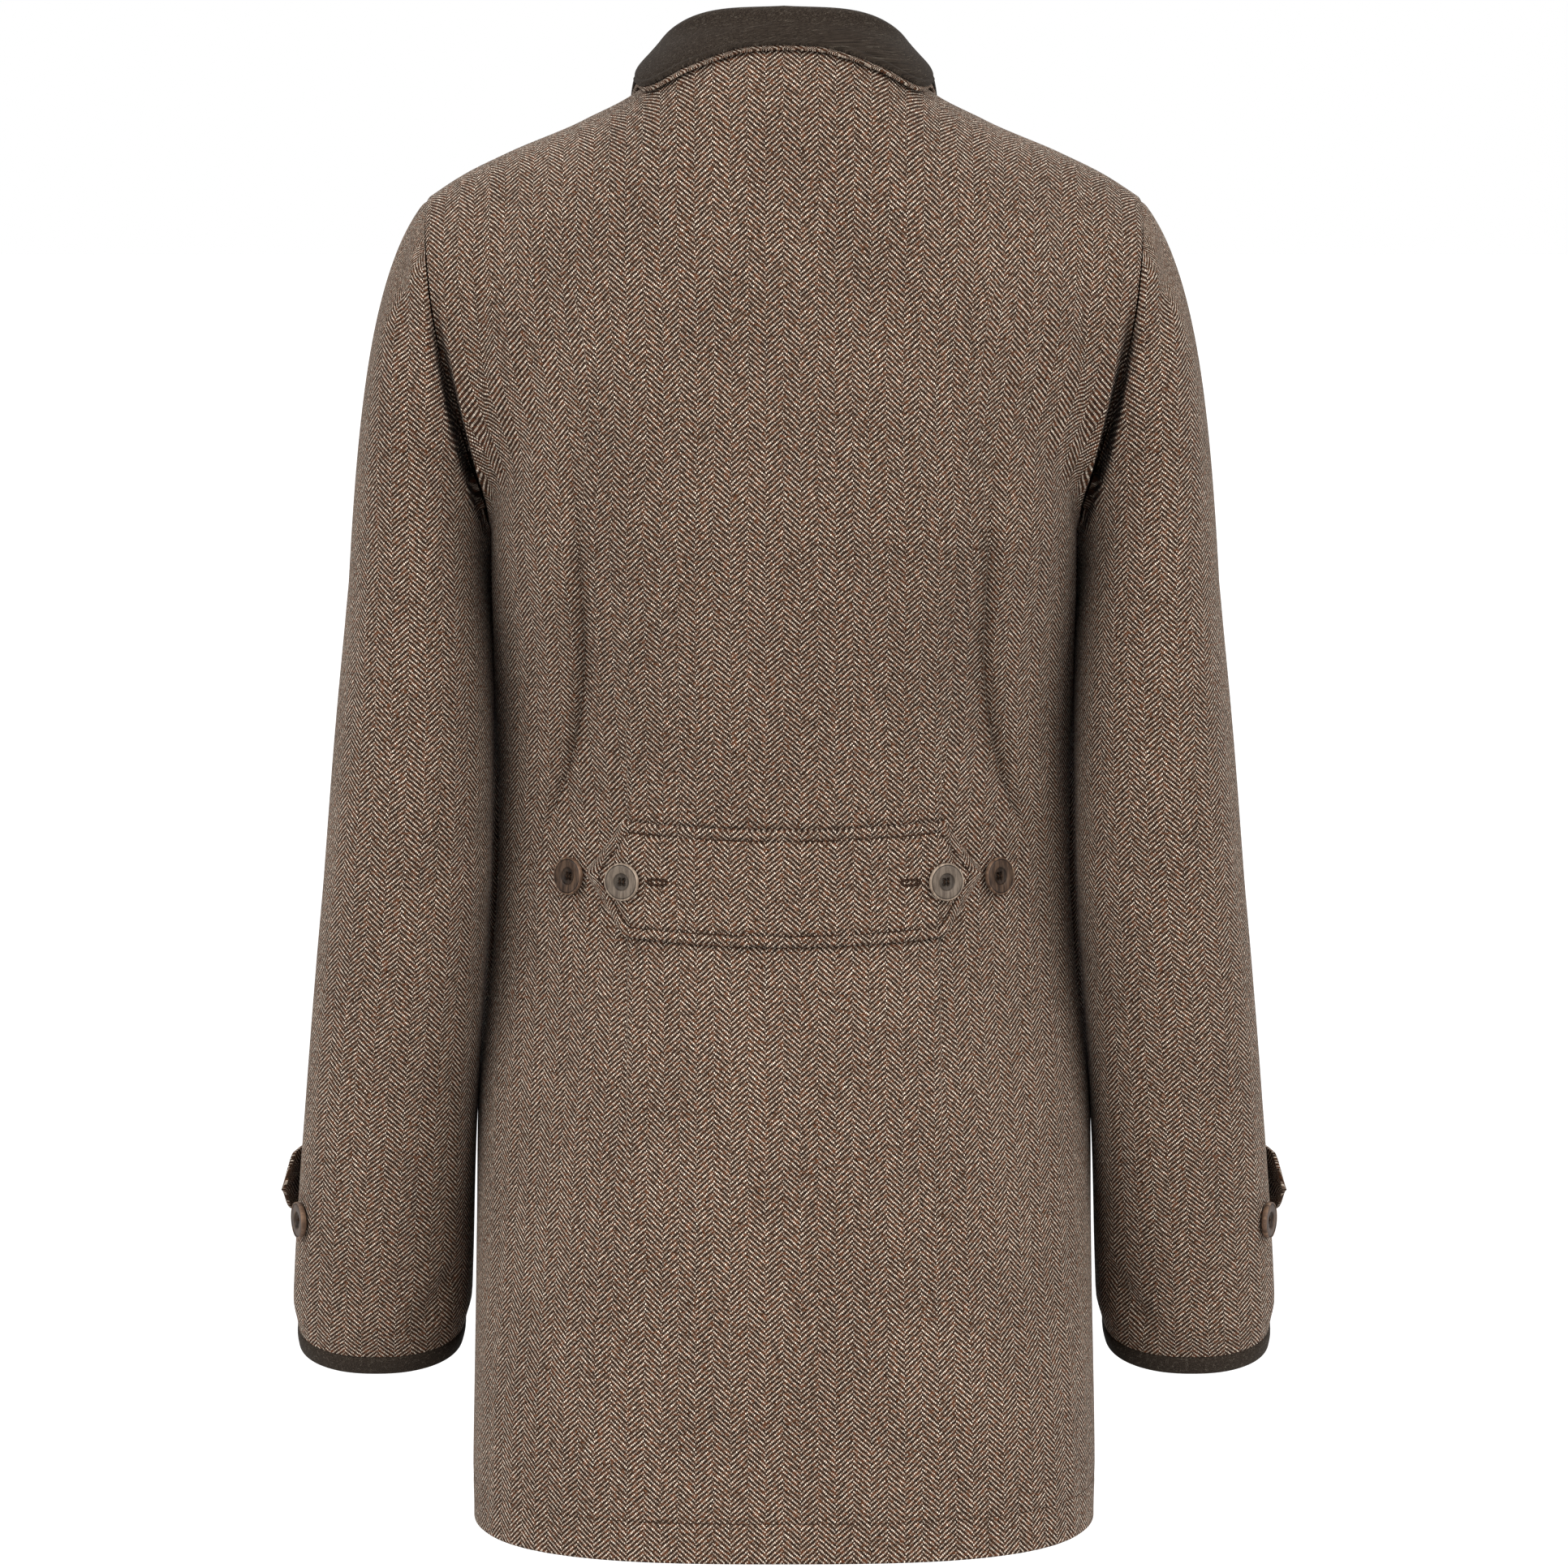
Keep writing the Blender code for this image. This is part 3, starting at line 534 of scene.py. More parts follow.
    def climb(self, lift: Array, x: Array, side: Side, count: int = 121) -> Array:
        """Distance up the body from the hem, above the underarm straight up at one distance from the centre.

        Args:
            lift: Lifts of the points.
            x: Their distances from the centre line.
            side: Back or front.
            count: Steps of the sums, up and across.

        Returns:
            The distances, read from a net of even lifts and even distances from the centre.
        """
        even = np.linspace(0.0, 1.0, count)
        across, up = np.meshgrid(even, even)
        under = self.plain(across, up - 1.0, side)
        base = run_length(under, 0, (1, 2))[-1]
        rows = self.back(across, up) if side is Side.BACK else self.front(across, up)
        places = even * self.tip.x
        upright = np.array([[np.interp(places, row[:, 0], row[:, axis]) for axis in range(3)] for row in rows])
        step = np.diff(upright, axis=0)
        over = ease((even[1:, None] - self.over_from) / self.over_span)
        length = np.hypot(step[:, 1] * over, step[:, 2])
        net = np.cumsum(np.concatenate([np.interp(places, under[-1, :, 0], base)[None], length]), axis=0)
        row = np.clip(lift, 0.0, 1.0) * (count - 1.0)
        column = np.clip(x / self.tip.x, 0.0, 1.0) * (count - 1.0)
        low, left = (np.minimum(place.astype(int), count - 2) for place in (row, column))
        part, rest = row - low, column - left
        first = net[low, left] + (net[low, left + 1] - net[low, left]) * rest
        second = net[low + 1, left] + (net[low + 1, left + 1] - net[low + 1, left]) * rest
        return first + (second - first) * part

    def grain(self, turn: Array, lift: Array, side: Side, points: Array, steps: int = 40) -> Array:
        """Cloth coordinates of a panel: plan distance from the centre line, and distance up from the hem.

        Above the underarm the cross grain passes from the distance round the
        underarm to the plain distance across the flat of the shoulders.

        Args:
            turn: Turns of the points.
            lift: Lifts of the points.
            side: Back or front.
            points: The points themselves.
            steps: Steps of the sum from the centre line to each point.

        Returns:
            Pairs of distances, the first one signed.
        """
        shares = np.linspace(0.0, 1.0, steps).reshape(-1, 1, 1)
        heights = self.height(np.minimum(lift, 0.0))
        round_body = run_length(self.lower(shares * np.abs(turn), heights[None], side), 0, (0, 1))[-1]
        under = self.lower(np.linspace(0.0, 1.0, 200), np.full(200, self.underarm.z), side)
        x = np.abs(points[..., 0])
        flat = np.interp(np.minimum(x, self.flat_x), under[:, 0], run_length(under[:, None], 0, (0, 1))[:, 0])
        flat = flat + self.flat_slope * np.maximum(x - self.flat_x, 0.0)
        across = round_body + (flat - round_body) * ease(2.0 * lift)
        upright = np.broadcast_to(np.abs(turn), (steps, *turn.shape))
        below = self.plain(upright, shares * (np.minimum(lift, 0.0) + 1.0) - 1.0, side)
        plain = self.plain(np.abs(turn), lift, side)
        low = run_length(below, 0, (1, 2))[-1] + points[..., 2] - plain[..., 2]
        along = np.where(lift > 0.0, self.climb(lift, x, side), low)
        return np.stack([np.sign(turn) * across, along], axis=-1)


@dataclass(frozen=True)
class Arm:
    """Form of the right sleeve from the armhole to the cuff."""

    torso: Torso
    rings: tuple[Ring, ...] = (
        Ring(-262.0, 197.0, 5.0, 37.0, 66.0, 0.0),
        Ring(-343.0, 198.8, 3.0, 42.6, 61.0, 2.0),
        Ring(-424.0, 203.0, 5.0, 45.3, 57.0, 5.0),
        Ring(-532.0, 212.6, 20.0, 46.2, 54.0, 9.0),
        Ring(-645.0, 219.9, 43.0, 49.0, 52.0, 13.0),
        Ring(-675.0, 221.6, 50.0, 49.2, 51.5, 14.0),
    )
    roundness: float = 2.25
    armhole_gap: float = 0.5
    start_pull: float = 0.75
    end_pull: float = 0.85
    leave_out: float = 0.67
    leave_spread: float = 0.45
    leave_fall: float = 0.76
    arrive_out: float = 0.05

    def ring(self, angle: Array, z: Array) -> Array:
        """Sleeve below the armhole: tilted superellipse rings about a curved axis.

        Args:
            angle: 0 on the outside, a quarter turn behind, half a turn by the body.
            z: Height of the ring's axis.

        Returns:
            Points of the outside of the cloth.
        """
        radius = reach(angle, self.roundness)
        out = smooth_between(self.rings, "half_width", z) * radius * np.cos(angle)
        behind = smooth_between(self.rings, "half_depth", z) * radius * np.sin(angle)
        tilt = np.radians(smooth_between(self.rings, "tilt", z))
        x = smooth_between(self.rings, "x", z) + out
        y = smooth_between(self.rings, "y", z) - behind * np.cos(tilt)
        return np.stack([x, y, z - behind * np.sin(tilt)], axis=-1)

    def head(self, angle: Array, share: Array) -> Array:
        """Sleeve head: cubic curves that leave the armhole outwards and turn down into the arm.

        Args:
            angle: Angle as for the rings.
            share: 0 at the armhole, 1 at the first ring.

        Returns:
            Points of the outside of the cloth.
        """
        folded = np.arccos(np.clip(np.cos(angle), -1.0, 1.0))
        behind = (np.sin(angle) >= 0.0)[..., None]
        start = np.where(behind, self.torso.armhole(folded, Side.BACK), self.torso.armhole(folded, Side.FRONT))
        start = start + np.array([self.armhole_gap, 0.0, 0.0])
        end = self.ring(angle, np.full_like(angle, self.rings[0].z))
        span = np.linalg.norm(end - start, axis=-1, keepdims=True)
        level = np.zeros_like(angle)
        leave = np.stack([level + self.leave_out, -self.leave_spread * np.sin(angle), level - self.leave_fall], axis=-1)
        arrive = np.stack([level + self.arrive_out, level, level - 1.0], axis=-1)
        t = share[..., None]
        begin = start * (1 + 2 * t) + self.start_pull * span * leave * t
        finish = end * (3 - 2 * t) + self.end_pull * span * arrive * (t - 1)
        return begin * (1 - t) ** 2 + finish * t**2


def linear(code: str) -> tuple[float, float, float, float]:
    """Linear colour of an sRGB hex code such as "3F332C", opaque."""
    shares = np.array([int(code[place : place + 2], 16) for place in (0, 2, 4)]) / 255.0
    light = np.where(shares <= 0.04045, shares / 12.92, ((shares + 0.055) / 1.055) ** 2.4)
    return (*light.tolist(), 1.0)


def set_inputs(tree: Tree, node: Node, inputs: dict[Any, Any]) -> None:
    """Set or link inputs of a shader node.

    Args:
        tree: Tree of the node.
        node: The node.
        inputs: Value, output socket or node for each named or numbered input.
    """
    for key, value in inputs.items():
        source = value.outputs[0] if isinstance(value, Node) else value
        if isinstance(source, bpy.types.NodeSocket):
            tree.links.new(source, node.inputs[key])
        else:
            node.inputs[key].default_value = source


def add_node(tree: Tree, kind: str, inputs: dict[Any, Any], **settings: Any) -> Node:
    """Add a shader node with its settings, socket values and links.

    Args:
        tree: Tree that gets the node.
        kind: Node type without its ShaderNode prefix.
        inputs: As for set_inputs.
        settings: Properties of the node.

    Returns:
        The node.
    """
    node = tree.nodes.new("ShaderNode" + kind)
    for name, value in settings.items():
        setattr(node, name, value)
    set_inputs(tree, node, inputs)
    return node


def noise(tree: Tree, place: Any, size: float, detail: float, dimensions: str = "3D", **inputs: float) -> Node:
    """Noise texture.

    Args:
        tree: Tree that gets the node.
        place: Coordinates.
        size: Size of its grains in the units of the coordinates.
        detail: Number of finer noises laid over the first.
        dimensions: 2D or 3D.
        inputs: Other inputs by name.

    Returns:
        The node.
    """
    inputs = {"Vector": place, "Scale": 1.0 / size, "Detail": detail, **inputs}
    return add_node(tree, "TexNoise", inputs, noise_dimensions=dimensions)


def span(tree: Tree, value: Any, source: Pair = (0.0, 1.0), target: Pair = (0.0, 1.0)) -> Node:
    """Node that takes one range of values to another and stops at its ends."""
    ends = dict(zip(("From Min", "From Max", "To Min", "To Max"), (*source, *target)))
    return add_node(tree, "MapRange", {"Value": value, **ends})


def calc(tree: Tree, operation: str, *terms: Any) -> Node:
    """Node that works out one sum."""
    return add_node(tree, "Math", dict(enumerate(terms)), operation=operation)


def mix(tree: Tree, factor: Any, first: Any, second: Any, blend: str = "MIX") -> bpy.types.NodeSocket:
    """Mixed colour of two colours, each a hex code, a node or a socket."""
    first, second = (linear(colour) if isinstance(colour, str) else colour for colour in (first, second))
    inputs = {"Factor": factor, 6: first, 7: second}
    return add_node(tree, "Mix", inputs, data_type="RGBA", blend_type=blend).outputs[2]


@dataclass(frozen=True)
class Finish:
    """Procedural finish of one material."""

    name: str

    def inputs(self, tree: Tree) -> dict[str, Any]:
        """Inputs of the Principled shader, with the nodes behind them."""
        raise NotImplementedError

    def bump(self, tree: Tree, strength: float, relief: float, height: Any) -> Node:
        """Bump of a height, with its relief in millimetres."""
        return add_node(tree, "Bump", {"Strength": strength, "Distance": relief * MM, "Height": height})

    def material(self) -> Material:
        """Node material whose shader has the inputs of this finish."""
        material = bpy.data.materials.new(self.name)
        material.use_nodes = True
        tree = material.node_tree
        set_inputs(tree, tree.nodes["Principled BSDF"], self.inputs(tree))
        return material


@dataclass(frozen=True)
class Tweed(Finish):
    """Wool herringbone tweed: cream warp beads in zigzag twill over a dark brown weft.

    The eye sees cream diagonal lines that turn at each column, built of small
    oval beads, with rust flecks, a dry rough face and a faint nap.
    """

    name: str = "wool_herringbone_tweed"
    cream: str = "9C8B7B"
    pale: str = "E0D1BF"
    brown: str = "20140D"
    umber: str = "332217"
    russet: str = "4F2E1C"
    rust: str = "76543C"
    thread: float = 0.7625
    pick: float = 0.675
    threads_in_column: int = 12
    picks_in_twill: int = 4
    bead_half_width: float = 0.5
    bead_half_length: float = 0.88
    bead_edge: float = 1.8
    wear: Pair = (0.55, 1.2)
    wobble: float = 0.45
    wobble_size: float = 11.0
    jitter: float = 0.55
    jitter_size: float = 2.4
    weft_slub: float = 4.0
    weft_step: float = 0.43
    ruddy: Pair = (0.5, 0.66)
    fleck_length: float = 2.6
    warp_step: float = 0.37
    bright: Pair = (0.35, 0.68)
    fleck: Pair = (0.60, 0.68)
    cloud_size: float = 55.0
    cloud: Pair = (0.3, 0.7)
    cloud_tones: Pair = (0.93, 1.05)
    fibre_size: float = 0.5
    fibre_height: float = 0.45
    dryness: Pair = (0.86, 1.0)
    relief: float = 0.28
    relief_strength: float = 0.55

    def weave(self, tree: Tree, grain: Node) -> dict[Any, Any]:
        """Sums that find the thread, pick and bead at each place of the cloth.

        Args:
            tree: Tree of the material.
            grain: Cloth coordinates in metres.

        Returns:
            The node of each named sum.
        """
        drift = noise(tree, grain, self.wobble_size * MM, 1.0, "2D")
        jitter = noise(tree, grain, self.jitter_size * MM, 1.0, "2D")
        made: dict[Any, Any] = {}
        for word, source in (("", grain), ("drift ", drift.outputs["Color"]), ("jitter ", jitter.outputs["Color"])):
            parts = add_node(tree, "SeparateXYZ", {0: source})
            made[word + "u"], made[word + "v"] = parts.outputs["X"], parts.outputs["Y"]
        twist = self.threads_in_column - 1 + self.picks_in_twill // 2
        steps = (
            ("lean u", "MULTIPLY_ADD", "drift u", self.wobble * MM, "u"),
            ("lean v", "MULTIPLY_ADD", "drift v", self.wobble * MM, "v"),
            ("sway u", "MULTIPLY_ADD", "jitter u", self.jitter * MM, "lean u"),
            ("sway v", "MULTIPLY_ADD", "jitter v", self.jitter * MM, "lean v"),
            ("thread", "DIVIDE", "sway u", self.thread * MM),
            ("thread number", "FLOOR", "thread"),
            ("across", "FRACT", "thread"),
            ("columns", "DIVIDE", "thread number", self.threads_in_column),
            ("column number", "FLOOR", "columns"),
            ("place", "FLOORED_MODULO", "thread number", self.threads_in_column),
            ("turned", "FLOORED_MODULO", "column number", 2.0),
            ("sign", "MULTIPLY_ADD", "turned", -2.0, 1.0),
            ("offset", "MULTIPLY", "turned", twist),
            ("shift", "MULTIPLY_ADD", "place", "sign", "offset"),
            ("pick", "DIVIDE", "sway v", self.pick * MM),
            ("twill", "ADD", "pick", "shift"),
            ("away", "PINGPONG", "twill", 0.5 * self.picks_in_twill),
            ("along", "DIVIDE", "away", self.bead_half_length),
            ("centred", "SUBTRACT", "across", 0.5),
            ("aside", "DIVIDE", "centred", self.bead_half_width),
            ("aside squared", "MULTIPLY", "aside", "aside"),
            ("radius squared", "MULTIPLY_ADD", "along", "along", "aside squared"),
            ("bead", "SUBTRACT", 1.0, "radius squared"),
            ("bead face", "MULTIPLY", "bead", self.bead_edge),
            ("rows", "MULTIPLY_ADD", "twill", 1.0 / self.picks_in_twill, 0.5),
            ("row number", "FLOOR", "rows"),
            ("pick number", "FLOOR", "pick"),
            ("weft x", "DIVIDE", "u", self.weft_slub * MM),
            ("weft y", "MULTIPLY", "pick number", self.weft_step),
            ("yarn x", "MULTIPLY", "thread number", self.warp_step),
            ("yarn y", "DIVIDE", "v", self.fleck_length * MM),
        )
        for name, operation, *terms in steps:
            made[name] = calc(tree, operation, *(made.get(term, term) for term in terms))
            made[name].use_clamp = name in ("bead", "bead face")
        for name, x, y in (
            ("yarn", "yarn x", "yarn y"), ("weft", "weft x", "weft y"), ("one bead", "thread number", "row number")
        ):
            made[name] = add_node(tree, "CombineXYZ", {0: made[x], 1: made[y]})
        return made

    def inputs(self, tree: Tree) -> dict[str, Any]:
        """Herringbone from the grain map, whose units are metres of cloth.

        Args:
            tree: Tree of the material.

        Returns:
            Inputs of the shader.
        """
        grain = add_node(tree, "UVMap", {}, uv_map=GRAIN)
        made = self.weave(tree, grain)
        yarn = noise(tree, made["yarn"], 1.0, 2.0, "2D")
        slub = noise(tree, made["weft"], 1.0, 2.0, "2D")
        cloud = noise(tree, grain, self.cloud_size * MM, 1.0, "2D")
        fibre = noise(tree, grain, self.fibre_size * MM, 1.0, "2D")
        chance = add_node(tree, "TexWhiteNoise", {"Vector": made["one bead"]}, noise_dimensions="2D")
        bright = span(tree, yarn, self.bright)
        warp = mix(tree, bright, self.cream, self.pale)
        warp = mix(tree, span(tree, yarn.outputs["Color"], self.fleck), warp, self.rust)
        warp = mix(tree, 1.0, warp, span(tree, chance, target=self.wear), "MULTIPLY")
        weft = mix(tree, bright, self.umber, self.brown)
        weft = mix(tree, span(tree, slub, self.ruddy), weft, self.russet)
        cloth = mix(tree, made["bead face"], weft, warp)
        height = calc(tree, "MULTIPLY_ADD", fibre, self.fibre_height, made["bead"])
        return {
            "Base Color": mix(tree, 1.0, cloth, span(tree, cloud, self.cloud, self.cloud_tones), "MULTIPLY"),
            "Roughness": span(tree, fibre, target=self.dryness),
            "Normal": self.bump(tree, self.relief_strength, self.relief, height),
            "Specular IOR Level": 0.06, "Sheen Weight": 0.02, "Sheen Roughness": 0.6,
        }


@dataclass(frozen=True)
class Felt(Finish):
    """Milled wool felt: a dense dark brown face with a soft bloom and a few pale curled hairs."""

    name: str = "milled_wool_felt"
    dark: str = "14100D"
    mid: str = "40372F"
    hair: str = "8A7F71"
    mottle: float = 0.6
    tone: Pair = (0.4, 0.66)
    curl: float = 1.0
    hair_line: Pair = (0.004, 0.016)
    patch: float = 2.2
    hair_patch: Pair = (0.52, 0.62)
    hair_strength: float = 0.7
    dryness: Pair = (0.88, 1.0)
    relief: float = 0.3
    relief_strength: float = 0.5

    def inputs(self, tree: Tree) -> dict[str, Any]:
        """Fine mottling with thin wandering hair lines, in metres of cloth.

        Args:
            tree: Tree of the material.

        Returns:
            Inputs of the shader.
        """
        grain = add_node(tree, "UVMap", {}, uv_map=GRAIN)
        mottle = noise(tree, grain, self.mottle * MM, 4.0, Roughness=0.7)
        curl = noise(tree, grain, self.curl * MM, 1.5, Distortion=1.4)
        patch = noise(tree, grain, self.patch * MM, 1.0)
        base = mix(tree, span(tree, mottle, self.tone), self.dark, self.mid)
        away = calc(tree, "ABSOLUTE", calc(tree, "SUBTRACT", curl, 0.5))
        line = span(tree, away, self.hair_line, (1.0, 0.0))
        hair = calc(tree, "MULTIPLY", line, span(tree, patch, self.hair_patch, (0.0, self.hair_strength)))
        height = calc(tree, "ADD", mottle, hair)
        return {
            "Base Color": mix(tree, hair, base, self.hair),
            "Roughness": span(tree, mottle, target=self.dryness),
            "Normal": self.bump(tree, self.relief_strength, self.relief, height),
            "Specular IOR Level": 0.05, "Sheen Weight": 0.03, "Sheen Roughness": 0.5,
        }


@dataclass(frozen=True)
class Horn(Finish):
    """Turned and polished horn: grey-brown streaks under a soft satin polish, with painted shade in its sunk centre and
    groove and a painted highlight on its rim.
    """

    name: str = "polished_horn"
    dark: str = "463B33"
    mid: str = "5F5449"
    pale: str = "776A5E"
    # centre and groove darken the colour as painted shade in the hollows; lip brightens the rim as a painted highlight
    centre: float = 0.42
    centre_radius: float = 4.45
    band_radius: float = 4.85
    groove: float = 0.4
    groove_radius: float = 8.85
    groove_walls: Pair = (0.1, 0.4)
    lip: float = 2.3
    lip_radius: float = 9.1
    lip_edge: float = 0.2
    streak: float = 1.6
    streak_length: float = 9.0
    deep: Pair = (0.3, 0.55)
    light: Pair = (0.5, 0.75)
    polish: Pair = (0.36, 0.56)
    relief: float = 0.05
    relief_strength: float = 0.3

    def ring(self, tree: Tree, radius: Any, source: Pair, target: Pair) -> Node:
        """Colour factor that passes from one value to another between two radii in millimetres, for painted shade and
        painted highlight.
        """
        return span(tree, radius, (source[0] * MM, source[1] * MM), target)

    def inputs(self, tree: Tree) -> dict[str, Any]:
        """Streaks drawn out along one direction of the button's face, with painted shade and painted highlight ring by
        ring.

        Args:
            tree: Tree of the material.

        Returns:
            Inputs of the shader.
        """
        face = add_node(tree, "UVMap", {}, uv_map=GRAIN)
        scale = (1.0 / (self.streak * MM), 1.0 / (self.streak_length * MM), 1.0)
        streak = noise(tree, add_node(tree, "Mapping", {"Vector": face, "Scale": scale}), 1.0, 4.0, Distortion=0.6)
        colour = mix(tree, span(tree, streak, self.deep), self.dark, self.mid)
        colour = mix(tree, span(tree, streak, self.light), colour, self.pale)
        radius = add_node(tree, "VectorMath", {0: face}, operation="LENGTH").outputs["Value"]
        # painted shade in the sunk centre, painted highlight on the rim, painted shade along the groove
        sunk = self.ring(tree, radius, (self.centre_radius, self.band_radius), (self.centre, 1.0))
        lip = self.ring(tree, radius, (self.lip_radius, self.lip_radius + self.lip_edge), (1.0, self.lip))
        off_groove = calc(tree, "ABSOLUTE", calc(tree, "SUBTRACT", radius, self.groove_radius * MM))
        groove = self.ring(tree, off_groove, self.groove_walls, (self.groove, 1.0))
        turned = calc(tree, "MULTIPLY", calc(tree, "MULTIPLY", sunk, lip), groove)
        return {
            "Base Color": mix(tree, 1.0, colour, turned, "MULTIPLY"),
            "Roughness": span(tree, streak, target=self.polish),
            "Normal": self.bump(tree, self.relief_strength, self.relief, streak),
            "IOR": 1.54, "Specular IOR Level": 0.15,
        }


@dataclass(frozen=True)
class Thread(Finish):
    """Waxed sewing thread: a dull twisted yarn, dark brown, with a fine spiral."""

    name: str = "brown_sewing_thread"
    dark: str = "1E140E"
    pale: str = "3D2B20"
    twist: float = 0.55
    band_share: float = 6.0
    relief: float = 0.1
    relief_strength: float = 0.4

    def inputs(self, tree: Tree) -> dict[str, Any]:
        """Fine spiral bands in object space, a little coarser than real twist so that they show.

        Args:
            tree: Tree of the material.

        Returns:
            Inputs of the shader.
        """
        place = add_node(tree, "TexCoord", {}).outputs["Object"]
        waves = {"Vector": place, "Scale": 1.0 / (self.band_share * self.twist * MM), "Distortion": 1.0}
        bands = add_node(tree, "TexWave", waves, bands_direction="DIAGONAL").outputs["Fac"]
        return {
            "Base Color": mix(tree, bands, self.dark, self.pale),
            "Normal": self.bump(tree, self.relief_strength, self.relief, bands),
            "Roughness": 0.8, "Specular IOR Level": 0.08,
        }


@dataclass(frozen=True)
class StudioFloor(Finish):
    """Matt white studio floor paint with faint cloudy unevenness."""

    name: str = "matt_white_floor"
    white: str = "D4D4D4"
    shade: str = "D1D1D1"
    cloud_size: float = 900.0

    def inputs(self, tree: Tree) -> dict[str, Any]:
        """Two near whites mixed by a broad noise in object space."""
        place = add_node(tree, "TexCoord", {}).outputs["Object"]
        cloud = noise(tree, place, self.cloud_size * MM, 2.0)
        return {"Base Color": mix(tree, cloud, self.white, self.shade), "Roughness": 0.9}


@dataclass
class Finishes:
    """Materials of the jacket, each made once."""

    tweed: Material = field(default_factory=lambda: Tweed().material())
    felt: Material = field(default_factory=lambda: Felt().material())
    horn: Material = field(default_factory=lambda: Horn().material())
    # Darker, browner copy of the horn for the outer belt, sleeve and tab buttons: its darkness is painted shade for
    # buttons that sit in shade.
    dark_horn: Material = field(
        default_factory=lambda: Horn("polished_brown_horn", "241A13", "3F3026", "5E4A3A").material()
    )
    thread: Material = field(default_factory=lambda: Thread().material())


def put_mesh(name: str, points: Array, faces: Sequence[Array], maps: Sequence[Array], crisp: float = 50.0) -> Mesh:
    """Mesh from arrays, turned outwards if its signed volume says that it is inside out.

    Args:
        name: Name of the mesh.
        points: Points in millimetres.
        faces: Arrays of equal-sided faces, as point numbers.
        maps: For each of those arrays, the grain of each corner in metres.
        crisp: Angle in degrees above which an edge is drawn sharp.

    Returns:
        The mesh, smooth-shaded, with its grain map.
    """
    points = np.asarray(points, float).reshape(-1, 3)
    volume = 0.0
    for face in faces:
        for corner in range(1, face.shape[1] - 1):
            first, second, third = (points[face[:, place]] for place in (0, corner, corner + 1))
            volume += np.sum(first * np.cross(second, third))
    turn = slice(None, None, -1) if volume < 0.0 else slice(None)
    mesh = bpy.data.meshes.new(name)
    rows = [corners for face in faces for corners in face[:, turn].tolist()]
    mesh.from_pydata((points * MM).tolist(), [], rows)
    layer = mesh.uv_layers.new(name=GRAIN)
    corners = np.concatenate([piece[:, turn].reshape(-1, 2) for piece in maps])
    layer.data.foreach_set("uv", corners.astype(np.float32).ravel())
    mesh.shade_smooth()
    mesh.set_sharp_from_angle(angle=math.radians(crisp))
    return mesh


def grid_quads(index: Array) -> Array:
    """Corners of the cells of a grid of numbers or pairs, in order round each cell."""
    corners = (index[:-1, :-1], index[:-1, 1:], index[1:, 1:], index[1:, :-1])
    stacked = np.stack(corners, axis=2)
    return stacked.reshape(-1, *stacked.shape[2:])


@dataclass
class Shell:
    """Thin closed wall between two grids, rounded over its first and last rows.

    Attributes:
        outside: Points of the outer face; rows run along the second axis.
        inside: Points of the inner face.
        grain: Cloth coordinates of the points, in millimetres.
        closed: The first axis runs right round; the grain then has one more column.
        first_bulge: How far the rim of the first row stands out.
        last_bulge: How far the rim of the last row stands out.
        bias: Degrees by which the threads run aslant to the sheet.
        fine: How much finer than the main cloth its weave is.
    """

    outside: Array
    inside: Array
    grain: Array
    closed: bool = False
    first_bulge: float = 0.8
    last_bulge: float = 0.0
    bias: float = 0.0
    fine: float = 1.0

    def mesh(self, name: str) -> Mesh:
        """Outer face, rim, inner face and rim as one band that is closed on itself.

        Args:
            name: Name of the mesh.

        Returns:
            The mesh.
        """
        columns, rows = self.outside.shape[:2]
        first = 0.5 * (self.outside[:, 0] + self.inside[:, 0])
        first = first + self.first_bulge * unit(self.outside[:, 0] - self.outside[:, 1])
        last = 0.5 * (self.outside[:, -1] + self.inside[:, -1])
        last = last + self.last_bulge * unit(self.outside[:, -1] - self.outside[:, -2])
        band = np.concatenate([self.outside, last[:, None], self.inside[:, ::-1], first[:, None]], axis=1)
        index = np.arange(columns * band.shape[1]).reshape(columns, -1)
        grain = np.concatenate([self.grain, self.grain[:, -1:], self.grain[:, ::-1], self.grain[:, :1]], axis=1) * MM
        cos, sin = math.cos(math.radians(self.bias)), math.sin(math.radians(self.bias))
        grain = self.fine * grain @ np.array([[cos, sin], [-sin, cos]])
        caps, cap_maps = [], []
        if not self.closed:
            for column in (0, columns - 1):
                outer, inner = index[column, :rows], index[column, rows + 1 : 2 * rows + 1][::-1]
                cells = np.stack([outer[:-1], outer[1:], inner[1:], inner[:-1]], axis=1)
                ends = np.array(
                    [[outer[-1], index[column, rows], inner[-1]], [inner[0], index[column, -1], outer[0]]]
                )
                order = slice(None) if column == 0 else slice(None, None, -1)
                for face in (cells, ends):
                    caps.append(face[:, order])
                    cap_maps.append(grain[column][caps[-1] % band.shape[1]])
        index = np.concatenate([index, index[:, :1]], axis=1)
        grain = np.concatenate([grain, grain[:, :1]], axis=1)
        if self.closed:
            index = np.concatenate([index, index[:1]], axis=0)
        faces = [grid_quads(index)[:, ::-1], *caps]
        return put_mesh(name, band, faces, [grid_quads(grain)[:, ::-1], *cap_maps])

    def placed(self, hand: Hand) -> "Shell":
        """This right-hand wall, moved to a hand."""
        grain = self.grain * np.array([hand.value, 1.0])
        return replace(self, outside=hand.place(self.outside), inside=hand.place(self.inside), grain=grain)

    def cut(self) -> tuple[Pair, float]:
        """Flat cut of the sheet, measured on its grain: width and length, and area, in metres."""
        spread = np.ptp(self.grain.reshape(-1, 2), axis=0) * MM
        across, along = np.gradient(self.grain, axis=0), np.gradient(self.grain, axis=1)
        cells = np.abs(across[..., 0] * along[..., 1] - across[..., 1] * along[..., 0])
        area = float(cells[:-1, :-1].sum()) * MM * MM
        return (float(spread[0]), float(spread[1])), min(area, float(spread.prod()))


